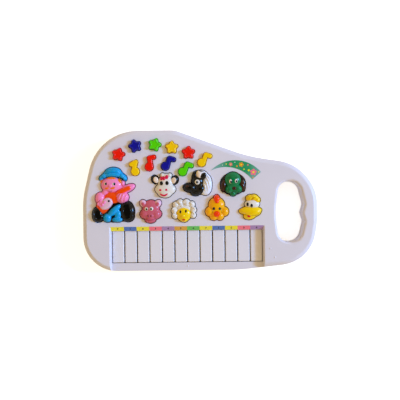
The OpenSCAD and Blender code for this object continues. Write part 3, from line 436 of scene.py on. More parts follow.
def capsuleRing(a, b, radius, z, steps=12):  # outline of a bar with round ends, or of a disc
    if a == b:
        turns = [pi * k / steps for k in range(2 * steps)]
        return [(a[0] + radius * cos(w), a[1] + radius * sin(w), z) for w in turns]
    along = atan2(b[1] - a[1], b[0] - a[0])
    ends = [(b, along - pi / 2 + pi * k / steps) for k in range(steps + 1)]
    ends += [(a, along + pi / 2 + pi * k / steps) for k in range(steps + 1)]
    return [(p[0] + radius * cos(w), p[1] + radius * sin(w), z) for p, w in ends]


def cutLevels():  # growth and height of a straight hole with a small chamfer at the panel's face
    high, gap, chamfer = casing["high"], buttonGap["round"], buttonGap["chamfer"]
    return [(gap, high - buttonGap["deep"]), (gap, high - chamfer), (gap + chamfer, high),
            (gap + chamfer, high + buttonGap["past"])]


def starCorners(i):
    corners = []
    for k in range(10):
        share, radius = starPlan["notch" if k % 2 else "tip"]
        reach, way = starPlan["reach"] * share, radians(90 + 36 * k)
        spot = turned((reach * cos(way), reach * sin(way)), starPlan["turn"][i], starPlan["at"][i])
        corners.append((spot[0], spot[1], radius))
    return corners


def noteBars(i):  # head, stem and flag as bars with round ends
    r, side = notePlan["head"], notePlan["side"][i]
    ends = notePlan["bent"].get(i, (notePlan["tip"], notePlan["flag"]))
    spots = [(0, 0), (side * r * notePlan["foot"], 0)] + [(side * r * x, r * y) for x, y in ends]
    head, foot, tip, flag = [turned(p, notePlan["turn"][i], notePlan["at"][i]) for p in spots]
    return [(head, head, r), (foot, tip, r * notePlan["neck"]), (tip, flag, r * notePlan["neck"])]


# groups: enamel, then domes as x, y, half width, half depth, turn, height and, where it isn't 1, steepness
# beads: enamel, x, y, half width, half depth, how proud, turn
# strokes: enamel, path, radius, share that is sunk
heads = {}
heads["cow"] = {"at": (-52.4, 22.7), "groups": [
    ("white", [(0.9, 3.6, 11.5, 11.5, 0, 6.5), (0.6, -6, 15.6, 9.6, 0, 7), (0, -10.8, 11.2, 8, 0, 6.6),
        (-3.4, 15, 3.7, 3.7, 0, 5), (7.2, 14.6, 3.7, 3.7, 0, 5), (1.8, 12.8, 7, 5, 0, 5.4)]),
    ("black", [(-14.6, 9, 5.3, 6.6, 25, 4.5), (14.8, 7.6, 5.3, 6.6, -25, 4.5)])], "beads": [
    ("crimson", -4.8, 10.6, 2.4, 3.4, 1.7, 10), ("crimson", -0.9, 10.9, 2.4, 3.6, 1.8, 0),
    ("crimson", 3.1, 11.2, 2.4, 3.4, 1.7, -12), ("cream", -12.9, 8, 3.3, 4.2, 0.7, 25),
    ("cream", 13.1, 6.8, 3.3, 4.2, 0.7, -25), ("black", -5, 2.9, 2.5, 2.9, 0.7, 0),
    ("black", 3.6, 3.1, 2.5, 2.9, 0.7, 0), ("crimson", -6.7, -7.2, 1.7, 1.6, 0.5, 0),
    ("crimson", 2.5, -7, 1.7, 1.6, 0.5, 0)], "strokes": [
    ("crimson", [(-7.2, -12.3), (-4.4, -14.4), (-1.5, -15.2), (1.5, -14.5), (4.3, -12.4)], 1.45, 0.3)]}
heads["horse"] = {"at": (-3.4, 25.5), "groups": [
    ("black", [(-12.2, -6.9, 9.6, 6.8, -8, 6.5), (-3.3, -13.4, 7.5, 5.8, 0, 6), (3.5, -8.7, 8, 8, 0, 7),
        (0.2, 2.2, 9.5, 10.5, 0, 7.5), (-4, 10.8, 3.6, 8, -18, 5.6)]),
    # the mane's lighter, bluer white is the white paint with painted light from the window on it
    ("milk", [(14.1, -2.3, 7.6, 15.5, 0, 5.5), (5.4, 12, 10.5, 7.3, -10, 6),
        (11.5, -11.6, 7.4, 7, 0, 5)])], "beads": [
    ("black", 8.2, 8.4, 3.9, 6.4, 2, -32), ("cream", 1.6, 12.2, 3.4, 5.4, 1.2, 10),
    ("white", -0.3, 1.2, 3.3, 3.3, 0.6, 0), ("black", -0.4, 1.1, 2.2, 2.3, 1.3, 0),
    ("grey", -0.2, 1.3, 1, 1.1, 1.9, 0), ("brown", -15.5, -4.6, 2.2, 1.6, 0.5, 0)], "strokes": [
    # mane strands in the same lighter, bluer white: painted light on the white mane
    ("milk", [(6.4, 15), (12, 13.4), (17, 8), (19.2, 0.6)], 1.7, 0.4),
    ("milk", [(11.6, 9.6), (15.4, 5), (17.6, -2.6), (17.6, -10)], 1.7, 0.4),
    ("milk", [(10.6, 4.4), (14, -1), (15.2, -8), (14.2, -14.4)], 1.6, 0.4),
    ("milk", [(9.8, -2), (11.8, -7), (11.6, -13)], 1.5, 0.4),
    ("milk", [(3.6, 15), (8, 15.6), (12.4, 13.8)], 1.3, 0.3),
    ("black", [(-18.8, -8), (-14, -10.2), (-8, -10.8), (-2, -14.4)], 0.8, 0.2),
    ("black", [(-16.6, -2.6), (-11, -1.4), (-6.4, -3)], 0.9, 0.2),
    ("black", [(-7.4, 4.8), (-6, 11.6), (-2.8, 16.4), (3, 17.8), (9.6, 16.8)], 1.1, 0.2)]}
heads["dog"] = {"at": (49.4, 23.4), "groups": [
    ("green", [(0.1, 5.6, 12.6, 12.4, 0, 8), (1.3, -7, 12.6, 8, 0, 8), (-4.4, -7.6, 7.2, 6.6, 0, 8.6),
        (7, -7.4, 7.2, 6.6, 0, 8.6), (0.1, -14.3, 4.6, 3.8, 0, 6)]),
    ("brown", [(-13.8, -2.2, 4.4, 9.4, -6, 4.8), (14.2, -2.6, 4.3, 9.2, 6, 4.8)]),
    # low black oval behind head and ears: a black outline round the ears, and painted shade in the space
    # between head and ears
    ("black", [(0.2, 0.2, 18.8, 16.2, 0, 3, 0.5)])], "beads": [
    ("white", -3.7, 3.8, 2, 2.7, 0.6, 0), ("white", 4.9, 4.2, 2, 2.7, 0.6, 0),
    ("black", -3, 3.3, 1.5, 2, 1.2, 0), ("black", 5.2, 3.8, 1.5, 2, 1.2, 0),
    ("brown", 1.9, -6.6, 3.1, 2.5, 1.5, 0)], "strokes": [
    # darker green lines at the mouth creases and over the eyes: painted shade in the creases
    ("dark_green", [(1.7, -9.4), (0.2, -11.8), (-3.6, -13), (-8, -10.6)], 0.5, 0.3),
    ("dark_green", [(2, -9.4), (4, -11.8), (8, -12.4), (11.2, -9.2)], 0.5, 0.3),
    ("dark_green", [(-6.4, 8.8), (-4.2, 10), (-2, 9.2)], 0.5, 0.4),
    ("dark_green", [(2.8, 9.4), (5, 10.2), (7.2, 9)], 0.5, 0.4)]}
heads["pig"] = {"at": (-74, -15.7), "groups": [
    ("rose", [(0.2, 4.2, 13, 12.5, 0, 6.5), (-0.1, -4.2, 16.5, 9.5, 0, 6.5), (-0.7, -11.9, 8.5, 6.3, 0, 6),
        (-8.4, -5, 7.8, 6.8, 0, 7), (7.6, -4.8, 7.8, 6.8, 0, 7), (-0.8, -6.8, 7.4, 4.8, 0, 8.2, 0.8)]),
    ("pale_pink", [(-11.2, 11.4, 5.2, 6.2, 35, 5), (10.6, 11.2, 5.2, 6.2, -35, 5)])], "beads": [
    ("white", -6.3, 3.3, 2.5, 2.6, 0.55, 0), ("white", 1.5, 3.5, 2.5, 2.6, 0.55, 0),
    ("black", -5.7, 3, 1.6, 1.8, 1.3, 0), ("black", 1, 3.2, 1.6, 1.8, 1.3, 0),
    ("rose", -10.4, 10, 2.2, 3.2, 0.6, 35), ("rose", 9.8, 9.8, 2.2, 3.2, 0.6, -35)], "strokes": [
    # darker rose in the nostril slits and along the smile crease: painted shade
    ("dark_rose", [(-3.4, -8.8), (-3.5, -7.1), (-3.3, -5.4)], 0.95, 0.2),
    ("dark_rose", [(0.9, -8.8), (1, -7.1), (0.8, -5.4)], 0.95, 0.2),
    ("dark_rose", [(-10.6, -9.8), (-6, -12.6), (-0.8, -13.4), (4.6, -12.6), (9.4, -9.6)], 0.45, 0.4)]}
heads["sheep"] = {"at": (-24.4, -15.5), "groups": [
    ("lemon", [(-0.2, -4.9, 11.4, 11.6, 0, 8), (0.1, -12.2, 6.5, 5.3, 0, 7)]),
    ("white", [(0, 2.5, 12.5, 9, 0, 5), (-11.8, 8.8, 5.2, 5.2, 0, 5.5), (-5.4, 11.9, 5.4, 5.4, 0, 5.5),
        (4, 12, 5.4, 5.4, 0, 5.5), (11.7, 9.1, 5.2, 5.2, 0, 5.5), (14, 0.9, 5, 5, 0, 5.5),
        (13.5, -7, 4.8, 4.8, 0, 5.5), (-14, -0.2, 5, 5, 0, 5.5),
        (-13.2, -7.6, 4.8, 4.8, 0, 5.5)])], "beads": [
    ("black", -5, -1.8, 1.4, 2.2, 0.6, 8), ("black", 3.2, -0.8, 1.4, 2.2, 0.6, -8),
    ("lemon", -1.3, -8.2, 2.6, 2.2, 0.9, 0), ("red", -0.2, -13.7, 2, 1.2, 0.5, 8)], "strokes": [
    ("white", [(-1, 6.6), (-5.6, 7.4), (-9.6, 5.6)], 1.9, 0.3),
    ("white", [(0.4, 7.2), (4.6, 9), (9, 7.6)], 1.9, 0.3),
    ("white", [(-4, 9.4), (-6.8, 12.6), (-10.8, 12)], 1.7, 0.3),
    ("white", [(0, 10.6), (1.2, 14), (5.4, 15)], 1.7, 0.3),
    ("white", [(7, 11), (10.4, 11.4), (13.6, 8.6)], 1.6, 0.3),
    ("white", [(11.6, 4.4), (14.6, 4), (17, 1)], 1.6, 0.3),
    ("white", [(12, -1.4), (14.6, -3.2), (15.4, -6.8)], 1.5, 0.3),
    ("white", [(-11.6, 3.6), (-14.6, 4), (-17.2, 1)], 1.6, 0.3),
    ("white", [(-12, -2.2), (-14.8, -4), (-15.4, -7.6)], 1.5, 0.3)]}
heads["chick"] = {"at": (25.1, -11.6), "groups": [
    ("amber", [(-0.4, 3.9, 12.2, 11.6, 0, 7.5), (-11.2, -5.8, 6.3, 7.2, 0, 6), (11.4, -6, 6.3, 7.2, 0, 6),
        (-4.8, -12.8, 6.3, 6.5, 0, 6), (4.3, -12.7, 6.3, 6.5, 0, 6), (-0.2, -5, 12, 8, 0, 6.6)]),
    ("vermilion", [(-0.2, 12.8, 5, 6.8, 0, 8.6, 0.6), (0.3, 8.6, 3.8, 3.6, 0, 9.4, 0.7),
        (-0.2, -9.4, 5.3, 5.3, 0, 9.8, 0.6)])], "beads": [
    ("black", -4.5, -1.8, 1.9, 2.4, 1.2, 0), ("black", 4.2, -2, 1.9, 2.4, 1.2, 0)], "strokes": [
    # darker yellow lines where the wings meet the head: painted shade in the creases
    ("mustard", [(-8.6, 1.2), (-6.6, -2.8), (-6.8, -7.6), (-9.2, -11)], 0.45, 0.4),
    ("mustard", [(8.4, 1.2), (6.6, -2.8), (6.8, -7.6), (9.4, -11)], 0.45, 0.4)]}
heads["duck"] = {"at": (75.3, -11.5), "groups": [
    ("lemon", [(-0.8, 13.6, 6, 5.2, 15, 6), (5.6, 13.8, 6.8, 5.4, -12, 6.6), (10, 10.6, 5, 4.9, 0, 6),
        (4.4, -7.6, 12, 7.2, 10, 7.2), (-0.2, -5.2, 17.3, 6.5, 2, 7), (-0.6, -12, 10, 6.6, 16, 6.2)]),
    ("white", [(2.6, 4.6, 11.4, 7.5, 0, 6.5)])], "beads": [
    ("black", -4.5, 4.1, 1.8, 2.4, 0.7, 0), ("black", 1.5, 2.2, 1.8, 2.4, 0.7, 0),
    ("red", -2.8, -13.6, 2.4, 1.6, 0.9, -20)], "strokes": [
    ("lemon", [(-1.6, 11.6), (2.4, 15.4), (6.6, 16)], 1.5, 0.3),
    ("lemon", [(3.4, 10.8), (7.4, 13.6), (11.4, 12.4)], 1.5, 0.3),
    # darker yellow lines along the bill's crease and between the tufts: painted shade
    ("mustard", [(-12, -7.6), (-7.4, -11.2), (-2, -12.6), (4, -12.8), (10.4, -10.6),
        (15, -7.2)], 0.55, 0.3),
    ("mustard", [(0.6, 10.4), (4.2, 13.8), (8.4, 14.4)], 0.45, 0.3)]}
musician = {"at": (-128.6, 9.6), "groups": [
    ("sky", [(-1.2, 33.4, 12.6, 7.6, 0, 6), (-1.3, 31, 14.8, 6.2, 0, 6), (-1.4, 29.6, 17.4, 3.4, 0, 5),
        (-18.8, 25.2, 4.2, 3.2, 48, 4), (-15.2, 27.6, 5, 3.6, 32, 4.6), (12.6, 27.8, 5, 3.8, -32, 4.6),
        (16, 25, 4.8, 3.4, -66, 4), (0, -24, 14.6, 5.5, 42, 8), (-10.2, -34.4, 6.9, 6.9, 0, 7.6),
        (5.3, -29.5, 6.2, 9, 0, 6), (4.5, -37, 8.7, 4.3, 0, 6.5)]),
    ("pink", [(-3.6, 14.6, 15.8, 12.6, 0, 8), (13, 17, 3.4, 4.2, 0, 5), (-13, 3.6, 6.6, 4.4, 30, 4.8),
        (-21, -5.6, 7.4, 9.6, 0, 7), (-18.4, -12.6, 6.8, 5.6, 20, 8), (12.4, -5, 9.8, 8.4, 20, 8.4),
        (19.4, 8.8, 13, 5.8, 23, 5)]),
    ("orange", [(-14.4, -15.6, 11.5, 14.5, -35, 6.5), (13, 5.6, 14.2, 4.2, 24, 6.8, 0.45),
        (-2, -5, 14, 11, 0, 6), (21, 9, 5.4, 4, 24, 6.6, 0.45)]),
    ("pale_pink", [(-11.4, -13.6, 12, 8.4, 40, 8, 0.35)]),
    ("black", [(-25.3, -29.5, 7.8, 11.6, 0, 5.5, 0.5), (-24.2, -33.2, 8.6, 7.8, 0, 5.2, 0.5),
        (19.8, -26, 10.6, 14.8, 0, 5.5, 0.5), (20.4, -32.4, 9.6, 8.6, 0, 5.2, 0.5),
        (18.6, -18.6, 9.4, 8.6, 0, 5.2, 0.5), (-1, -20, 21, 16, 0, 4.5),
        (0, -33.2, 22, 7.8, 0, 4)])], "beads": [
    ("ginger", -18.1, 20.8, 2.2, 3.4, 1.4, -24), ("ginger", -3.4, 24.8, 6.2, 1.9, 1.4, 0),
    ("ginger", 9.2, 20.4, 2.5, 3.9, 1.5, 38), ("white", -12.2, 16.2, 2, 2, 0.4, 0),
    ("white", 0.6, 15.6, 2.1, 2, 0.4, 0), ("black", -11.3, 16.2, 1.6, 2, 0.9, 0),
    ("black", 1.4, 15.8, 1.7, 2.1, 0.9, 0), ("pink", -4.8, 12.8, 3, 2.5, 1.6, 0),
    ("ginger", -10.2, 9.4, 3.1, 1.5, 0.8, 8), ("ginger", -1, 9.6, 3.5, 1.5, 0.8, 12),
    ("black", -7, -9.6, 1.6, 1.6, 0.8, 0), ("pink", -23, -14.4, 2.2, 2.8, 1.9, 25),
    ("pink", -20, -15.8, 2.2, 2.9, 2, 10), ("pink", -16.6, -14.8, 2.2, 2.9, 2, -15),
    ("pink", -13.8, -11.6, 2.1, 2.8, 1.9, -40)], "strokes": [
    ("sky", [(-21, 23.4), (-16.6, 27.2), (-9, 29.4), (-1.4, 30), (7, 29.4), (13, 27.2),
        (16.8, 22.4)], 3.1, 0.4),
    ("sky", [(-13.4, 31.6), (-8, 34), (-1.6, 34.8), (5, 34), (10.6, 31.6)], 2.5, 0.45),
    # darker pink lines at the mouth and the wrist crease: painted shade in the creases
    ("deep_pink", [(-8.8, 6.2), (-5.4, 4.6), (-1.8, 6)], 0.5, 0.3),
    ("deep_pink", [(-26.6, -11.4), (-23, -10.4), (-19.6, -7.2)], 0.5, 0.4),
    ("pink", [(4.8, -4.6), (6.2, -1.2), (8, 1.2)], 1.6, 0.4),
    ("pink", [(7.2, -8.6), (9.2, -3), (11.4, 1.6)], 1.7, 0.4),
    ("pink", [(10.8, -10.6), (13, -4.2), (15.2, 1.4)], 1.7, 0.4),
    ("pink", [(15, -10.6), (17.2, -5.2), (18.8, -0.4)], 1.6, 0.4),
    ("black", [(22.6, -15), (25.4, -25), (24.2, -36)], 1.3, 0.3),
    ("black", [(11.6, -17.6), (16, -14.4), (21, -14)], 0.9, 0.3),
    ("black", [(13.2, -21), (13.6, -27), (13, -34)], 0.9, 0.3),
    ("black", [(13.6, -36), (18, -37.4), (22.6, -36.8)], 0.9, 0.3),
    ("black", [(-29.6, -25), (-29.2, -31.4), (-25.6, -37)], 1.1, 0.3)]}


def cutOpenings(shell):
    tools = []
    for plan in list(heads.values()) + [musician]:
        for finish, lobes in plan["groups"]:
            for lobe in lobes:
                rings = [ellipseRing(plan["at"], lobe, grow, z) for grow, z in cutLevels()]
                tools.append(solidOf("tool", *loftOf(rings)))
    for i in range(len(starPlan["at"])):
        levels = [(-grow, z) for grow, z in cutLevels()]
        tools.append(solidOf("tool", *levelled(starCorners(i), levels, starPlan["steps"])))
        for a, b, radius in noteBars(i):
            rings = [capsuleRing(a, b, radius + grow, z) for grow, z in cutLevels()]
            tools.append(solidOf("tool", *loftOf(rings)))
    combine(shell, joined("openings", tools))


def topShell():
    shell = solidOf("top_casing", *levelled(caseCorners, topLevels(0)))
    hollow = solidOf("hollow", *levelled(caseCorners, topLevels(1)))
    wall, top, past = casing["wall"], casing["high"], casing["past"]
    combine(hollow, solidOf("hole_wall", *levelled(holeCorners, [(g - wall, z) for g, z in holeLevels()])))
    sill, stripLow, lip = keyWell["sill"], keyWell["stripLow"], keyWell["lip"]
    heights = [sill - keyWell["sillThick"], sill, stripLow, top + past]
    combine(hollow, solidOf("well_wall", *loftOf([wellRing(z, wall) for z in heights])))
    combine(shell, hollow)
    rings = [wellRing(z) for z in (sill, stripLow, top - lip)]
    rings += [wellRing(top - lip + lip * sin(a), 0, lip * (1 - cos(a)))
              for a in bends(keyWell["lipSteps"])[1:]]
    combine(shell, solidOf("well", *loftOf(rings + [wellRing(top + past, 0, lip)])))
    mid, half = keyRow["middle"], keyWell["slot"] / 2
    combine(shell, solidOf("slot", *boxOf(
        (mid - half, keyRow["front"] - keyWell["slotGap"], sill - keyWell["slotDeep"]),
        (mid + half, keyWell["slotBack"], keyWell["slotTop"]))))
    combine(shell, solidOf("finger_hole", *levelled(holeCorners, holeLevels())))
    cutOpenings(shell)
    smoothOver(shell, angle=34)
    settle(shell, "case", "casing_abs", "casing", "top_shell")


def lowerShell():  # the frame's lower half with its facets shaded as one curve
    shell = solidOf("bottom_casing", *skinOf(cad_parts["bottom_shell"].data), casing["weld"])
    smoothOver(shell, angle=30)
    settle(shell, "case", "casing_abs", "casing", "bottom_shell")


topShell()
lowerShell()
print("casing done")


def keyCaps():
    half, r = keyRow["wide"] / 2, keyRow["corner"]
    levels = [(0, keyRow["base"])] + roundEdge(keyRow["top"], keyRow["edge"], keyRow["edgeSteps"])
    for i in range(keyRow["count"]):
        x, name = keyAt(i), "key_%02d" % (i + 1)
        corners = [(x - half, keyRow["front"], r), (x + half, keyRow["front"], r),
                   (x + half, keyRow["tail"], r), (x - half, keyRow["tail"], r)]
        cap = solidOf("cap_" + name, *levelled(corners, levels, keyRow["cornerSteps"]))
        smoothOver(cap, angle=40)
        settle(cap, name, "key_abs", "key", name)


def stemOf(at):  # plunger under a button, which stands on its rubber dome
    heights = (buttonGap["stem"], buttonGap["lip"] + buttonGap["lipThick"] / 2)
    return loftOf([capsuleRing(at, at, buttonGap["stemWide"] / 2, z) for z in heights])


def capLevels(high, edge):  # inset and height: lip behind the panel, straight side, rounded edge
    lip, thick, wide = buttonGap["lip"], buttonGap["lipThick"], buttonGap["lipWide"]
    low = [(-wide, lip), (-wide, lip + thick), (0, lip + thick)]
    return low + roundEdge(high, edge, buttonGap["edgeSteps"])


def starCap(i):
    corners, (x0, y0) = starCorners(i), starPlan["at"][i]
    high = casing["high"] + starPlan["high"]
    rings = [[(x, y, z) for x, y in outlineOf(corners, inset, starPlan["steps"])]
             for inset, z in capLevels(high, starPlan["edge"])]
    rim = rings[-2]  # the dish starts from the last ring but one of the rounded edge
    for share, sunk in starPlan["dish"]:
        rings.append([(x0 + (x - x0) * share, y0 + (y - y0) * share, high - sunk) for x, y, z in rim])
    return solidOf("star_cap_%d" % (i + 1), *gathered([loftOf(rings), stemOf((x0, y0))]))


def noteCap(i):
    levels = capLevels(casing["high"] + notePlan["high"], notePlan["edge"])
    bars = [solidOf("bar", *loftOf([capsuleRing(a, b, radius - inset, z) for inset, z in levels]))
            for a, b, radius in noteBars(i)]
    bars.append(solidOf("stem", *stemOf(notePlan["at"][i])))
    return joined("note_cap_%d" % (i + 1), bars)


def smallButtons():
    for i in range(len(starPlan["at"])):
        for kind, made, plan in (("star", starCap, starPlan), ("note", noteCap, notePlan)):
            cap, name, colour = made(i), "%s_button_%d" % (kind, i + 1), plan["colour"][i]
            smoothOver(cap, angle=40)
            settle(cap, name, "button_abs_" + colour, "button_" + colour, name)


keyCaps()
smallButtons()
print("keys, stars and notes done")


def steepOf(lobe):  # 1 is a dome, less is a flatter top with steeper sides
    return lobe[6] if len(lobe) > 6 else 1


def rise(lobes, x, y):  # height of the moulded relief at one spot
    best = 0.0
    for lobe in lobes:
        lx, ly, halfWide, halfDeep, turn, high = lobe[:6]
        c, s = cos(radians(turn)), sin(radians(turn))
        u, v = (x - lx) * c + (y - ly) * s, (y - ly) * c - (x - lx) * s
        out = (u / halfWide) ** 2 + (v / halfDeep) ** 2
        if out < 1:
            best = max(best, high * sqrt(1 - out ** (1 / steepOf(lobe))))
    return casing["high"] + best


def bullet(at, lobe, low, steps=9):  # dome on a straight skirt, its pole left open by a quarter step
    high = casing["high"]
    rings = [ellipseRing(at, lobe, 0, low), ellipseRing(at, lobe, 0, high)]
    for k in range(1, steps + 1):
        a = pi / 2 * k / (steps + 0.25)
        rings.append(ellipseRing(at, lobe, 0, high + lobe[5] * sin(a), cos(a) ** steepOf(lobe)))
    return loftOf(rings)


drop = {"rings": 12, "sides": 22, "waist": 0.866, "probe": 0.25, "upright": 0.75}


def bead(at, lobes, x, y, halfWide, halfDeep, proud, turn):  # lens-shaped drop lying on the relief
    d, wide, deep = drop["probe"], halfWide / drop["waist"], halfDeep / drop["waist"]
    lean = Vector((rise(lobes, x - d, y) - rise(lobes, x + d, y),
                   rise(lobes, x, y - d) - rise(lobes, x, y + d), 2 * d))
    lean.z = max(lean.z, drop["upright"] * lean.xy.length)
    tilt = Vector((0, 0, 1)).rotation_difference(lean.normalized()).to_matrix()
    stance = tilt @ Matrix.Rotation(radians(turn), 3, "Z")
    middle = Vector((at[0] + x, at[1] + y, rise(lobes, x, y))) - lean.normalized() * proud
    rings = []
    for k in range(1, drop["rings"]):
        a = pi * (k / drop["rings"] - 0.5)
        ring = []
        for w in allRound(drop["sides"]):
            spot = (wide * cos(a) * cos(w), deep * cos(a) * sin(w), 2 * proud * sin(a))
            ring.append(tuple(middle + stance @ Vector(spot)))
        rings.append(ring)
    return loftOf(rings)


def curveSpot(p, a, b, q, s):  # spot on a smooth curve from a to b, which comes from p and goes on to q
    return tuple(0.5 * (2 * a[i] + (b[i] - p[i]) * s + (2 * p[i] - 5 * a[i] + 4 * b[i] - q[i]) * s * s
                        + (3 * a[i] - p[i] - 3 * b[i] + q[i]) * s ** 3) for i in (0, 1))


cord = {"steps": 8, "sides": 10, "tip": 0.35, "taper": 5}


def stroke(at, lobes, places, radius, sunk):  # raised line laid over the relief, thinner at its ends
    last, steps = len(places) - 1, cord["steps"]
    line = [curveSpot(places[max(k - 1, 0)], places[k], places[k + 1], places[min(k + 2, last)], j / steps)
            for k in range(last) for j in range(steps)] + [places[-1]]
    path = [Vector((at[0] + x, at[1] + y, rise(lobes, x, y) - radius * sunk)) for x, y in line]
    ways = allRound(cord["sides"])
    rings = []
    for k, spot in enumerate(path):
        ahead = (path[min(k + 1, len(path) - 1)] - path[max(k - 1, 0)]).normalized()
        side = ahead.cross(Vector((0, 0, 1))).normalized()
        up = side.cross(ahead)
        part = k / (len(path) - 1)
        size = radius * (cord["tip"] + (1 - cord["tip"]) * min(1, cord["taper"] * min(part, 1 - part)))
        rings.append([tuple(spot + (side * cos(w) + up * sin(w)) * size) for w in ways])
    return loftOf(rings)


def melted(shells, voxel, rounds=3):  # one soft skin around overlapping solids
    thing = solidOf("melt", *gathered(shells))
    step = thing.modifiers.new("melt", "REMESH")
    step.mode = "VOXEL"
    step.voxel_size = voxel * mm
    soft = thing.modifiers.new("soften", "SMOOTH")
    soft.factor = 0.5
    soft.iterations = rounds
    made = skinOf(bakeShape(thing).data)
    dropThing(thing)
    return made


def painted(name, parts):  # one piece from skins of several finishes
    names = sorted({finish for finish, shell in parts})
    thing = solidOf(name, *gathered([shell for finish, shell in parts]))
    for finish in names:
        thing.data.materials.append(finishes[finish])
    marks = [names.index(finish) for finish, shell in parts for face in shell[1]]
    thing.data.polygons.foreach_set("material_index", marks)
    return smoothOver(thing, angle=60, weighted=False)


def carrierOf(at, lobes):  # flange and plunger that keep a head in the panel
    low, thick, wide = buttonGap["lip"], buttonGap["lipThick"], buttonGap["lipWide"]
    flange = [loftOf([ellipseRing(at, lobe, wide, z) for z in (low, low + thick)]) for lobe in lobes]
    # the flange is black, partly as a black carrier part and partly as painted shade in the gap round each
    # head
    return [("enamel_black", shell) for shell in flange + [stemOf(at)]]


def moulded(name, plan, low, voxel, carried):
    at = plan["at"]
    every = [lobe for finish, lobes in plan["groups"] for lobe in lobes]
    parts = [("enamel_" + finish, melted([bullet(at, lobe, low) for lobe in lobes], voxel))
             for finish, lobes in plan["groups"]]
    parts += [("enamel_" + finish, bead(at, every, *shape)) for finish, *shape in plan["beads"]]
    parts += [("enamel_" + finish, stroke(at, every, *shape)) for finish, *shape in plan["strokes"]]
    return painted(name, parts + (carrierOf(at, every) if carried else []))


for headName, headPlan in heads.items():
    settle(moulded("moulded_" + headName, headPlan, buttonGap["lip"], voxel=0.5, carried=True),
           headName + "_button", None, headName, headName + "_button")
settle(moulded("moulded_musician", musician, casing["high"] - casing["panel"], voxel=0.6, carried=False),
       "case", None, "figure", "musician_figure")
print("heads and musician done")

strip = {"colours": ["yellow", "blue", "yellow", "pink", "purple", "orange", "green", "yellow", "blue",
                     "yellow", "pink", "purple"],
         "digits": [7, 1, 2, 3, 4, 5, 6, 7, 1, 2, 3, 4], "film": 0.24, "edge": 0.4, "over": 0.9,
         "digitHigh": 4.6, "digitBold": 0.2, "digitAt": 0.5, "digitOff": 0.26, "digitThick": 0.03,
         "digitSteps": 3}


def slopeOf():  # run, climb and length of the slope behind the keys
    run, climb = keyWell["stripBack"] - keyRow["back"], casing["high"] - keyWell["stripLow"]
    return run, climb, hypot(run, climb)


def onSlope(x, along, over):  # a spot on the number strip, measured up the slope and off it
    run, climb, long = slopeOf()
    return (x, keyRow["back"] + (along * run - over * climb) / long,
            keyWell["stripLow"] + (along * climb + over * run) / long)


def digitShape(text):  # flat digit around the origin, as a mesh
    curve = bpy.data.curves.new("digit", "FONT")
    curve.body = text
    curve.align_x = "CENTER"
    curve.align_y = "CENTER"
    curve.size = strip["digitHigh"]
    curve.extrude = strip["digitThick"]
    curve.offset = strip["digitBold"]
    curve.resolution_u = strip["digitSteps"]
    figure = bpy.data.objects.new("digit", curve)
    shape = bpy.data.meshes.new_from_object(figure)
    bpy.data.objects.remove(figure)
    return shape


def numberStrip():
    low, high, half = strip["edge"], slopeOf()[2] - strip["edge"], keyWell["slot"] / 2 + strip["over"]
    level = low + (high - low) * strip["digitAt"]
    parts = []
    for i, colour in enumerate(strip["colours"]):
        middle, pitch = keyAt(i), keyRow["pitch"]
        x0 = keyRow["middle"] - half if i == 0 else middle - pitch / 2
        x1 = keyRow["middle"] + half if i == keyRow["count"] - 1 else middle + pitch / 2
        corners = ((x0, low), (x1, low), (x1, high), (x0, high))
        rings = [[onSlope(x, along, over) for x, along in corners] for over in (0, strip["film"])]
        parts.append(("ink_" + colour, loftOf(rings)))
        shape, off = digitShape(str(strip["digits"][i])), strip["digitOff"]
        spots = [onSlope(middle + v.co.x, level + v.co.y, off + v.co.z) for v in shape.vertices]
        parts.append(("ink_black", (spots, [tuple(f.vertices) for f in shape.polygons])))
        bpy.data.meshes.remove(shape)
    settle(painted("printed_strip", parts), "case", None, "strip", "number_strip")


numberStrip()

sticker = {
    "at": (53, 8), "reach": 51, "inner": 50.3, "shift": (-13.9, -9.2), "top": 36.3, "heart": (58, 54),
    "green": "26985E", "teal": "86B4B4", "fade": (16, 38), "cloud": 120.0, "sway": 0.3, "sunk": 0.02,
    "ink": 0.03, "petals": 5, "petalAt": 0.95, "petal": 0.62, "stamen": 0.5, "stamenInk": 0.05,
    "print": [  # degrees, share of the arch's width, kind, ink, size
        (113, 0.5, "dot", "white", 0.6), (106, 0.55, "dot", "yellow", 0.9),
        (98, 0.45, "blossom", "rose", 1.8), (90, 0.75, "dot", "white", 0.7), (86, 0.3, "dot", "amber", 1.2),
        (78, 0.6, "blossom", "amber", 2.3), (70, 0.25, "dot", "yellow", 1.0), (66, 0.8, "dot", "rose", 1.2),
        (60, 0.4, "dot", "yellow", 1.5), (50, 0.52, "blossom", "pink", 3.2),
        (43, 0.16, "dot", "amber", 1.1), (43, 0.86, "dot", "yellow", 1.0)]}


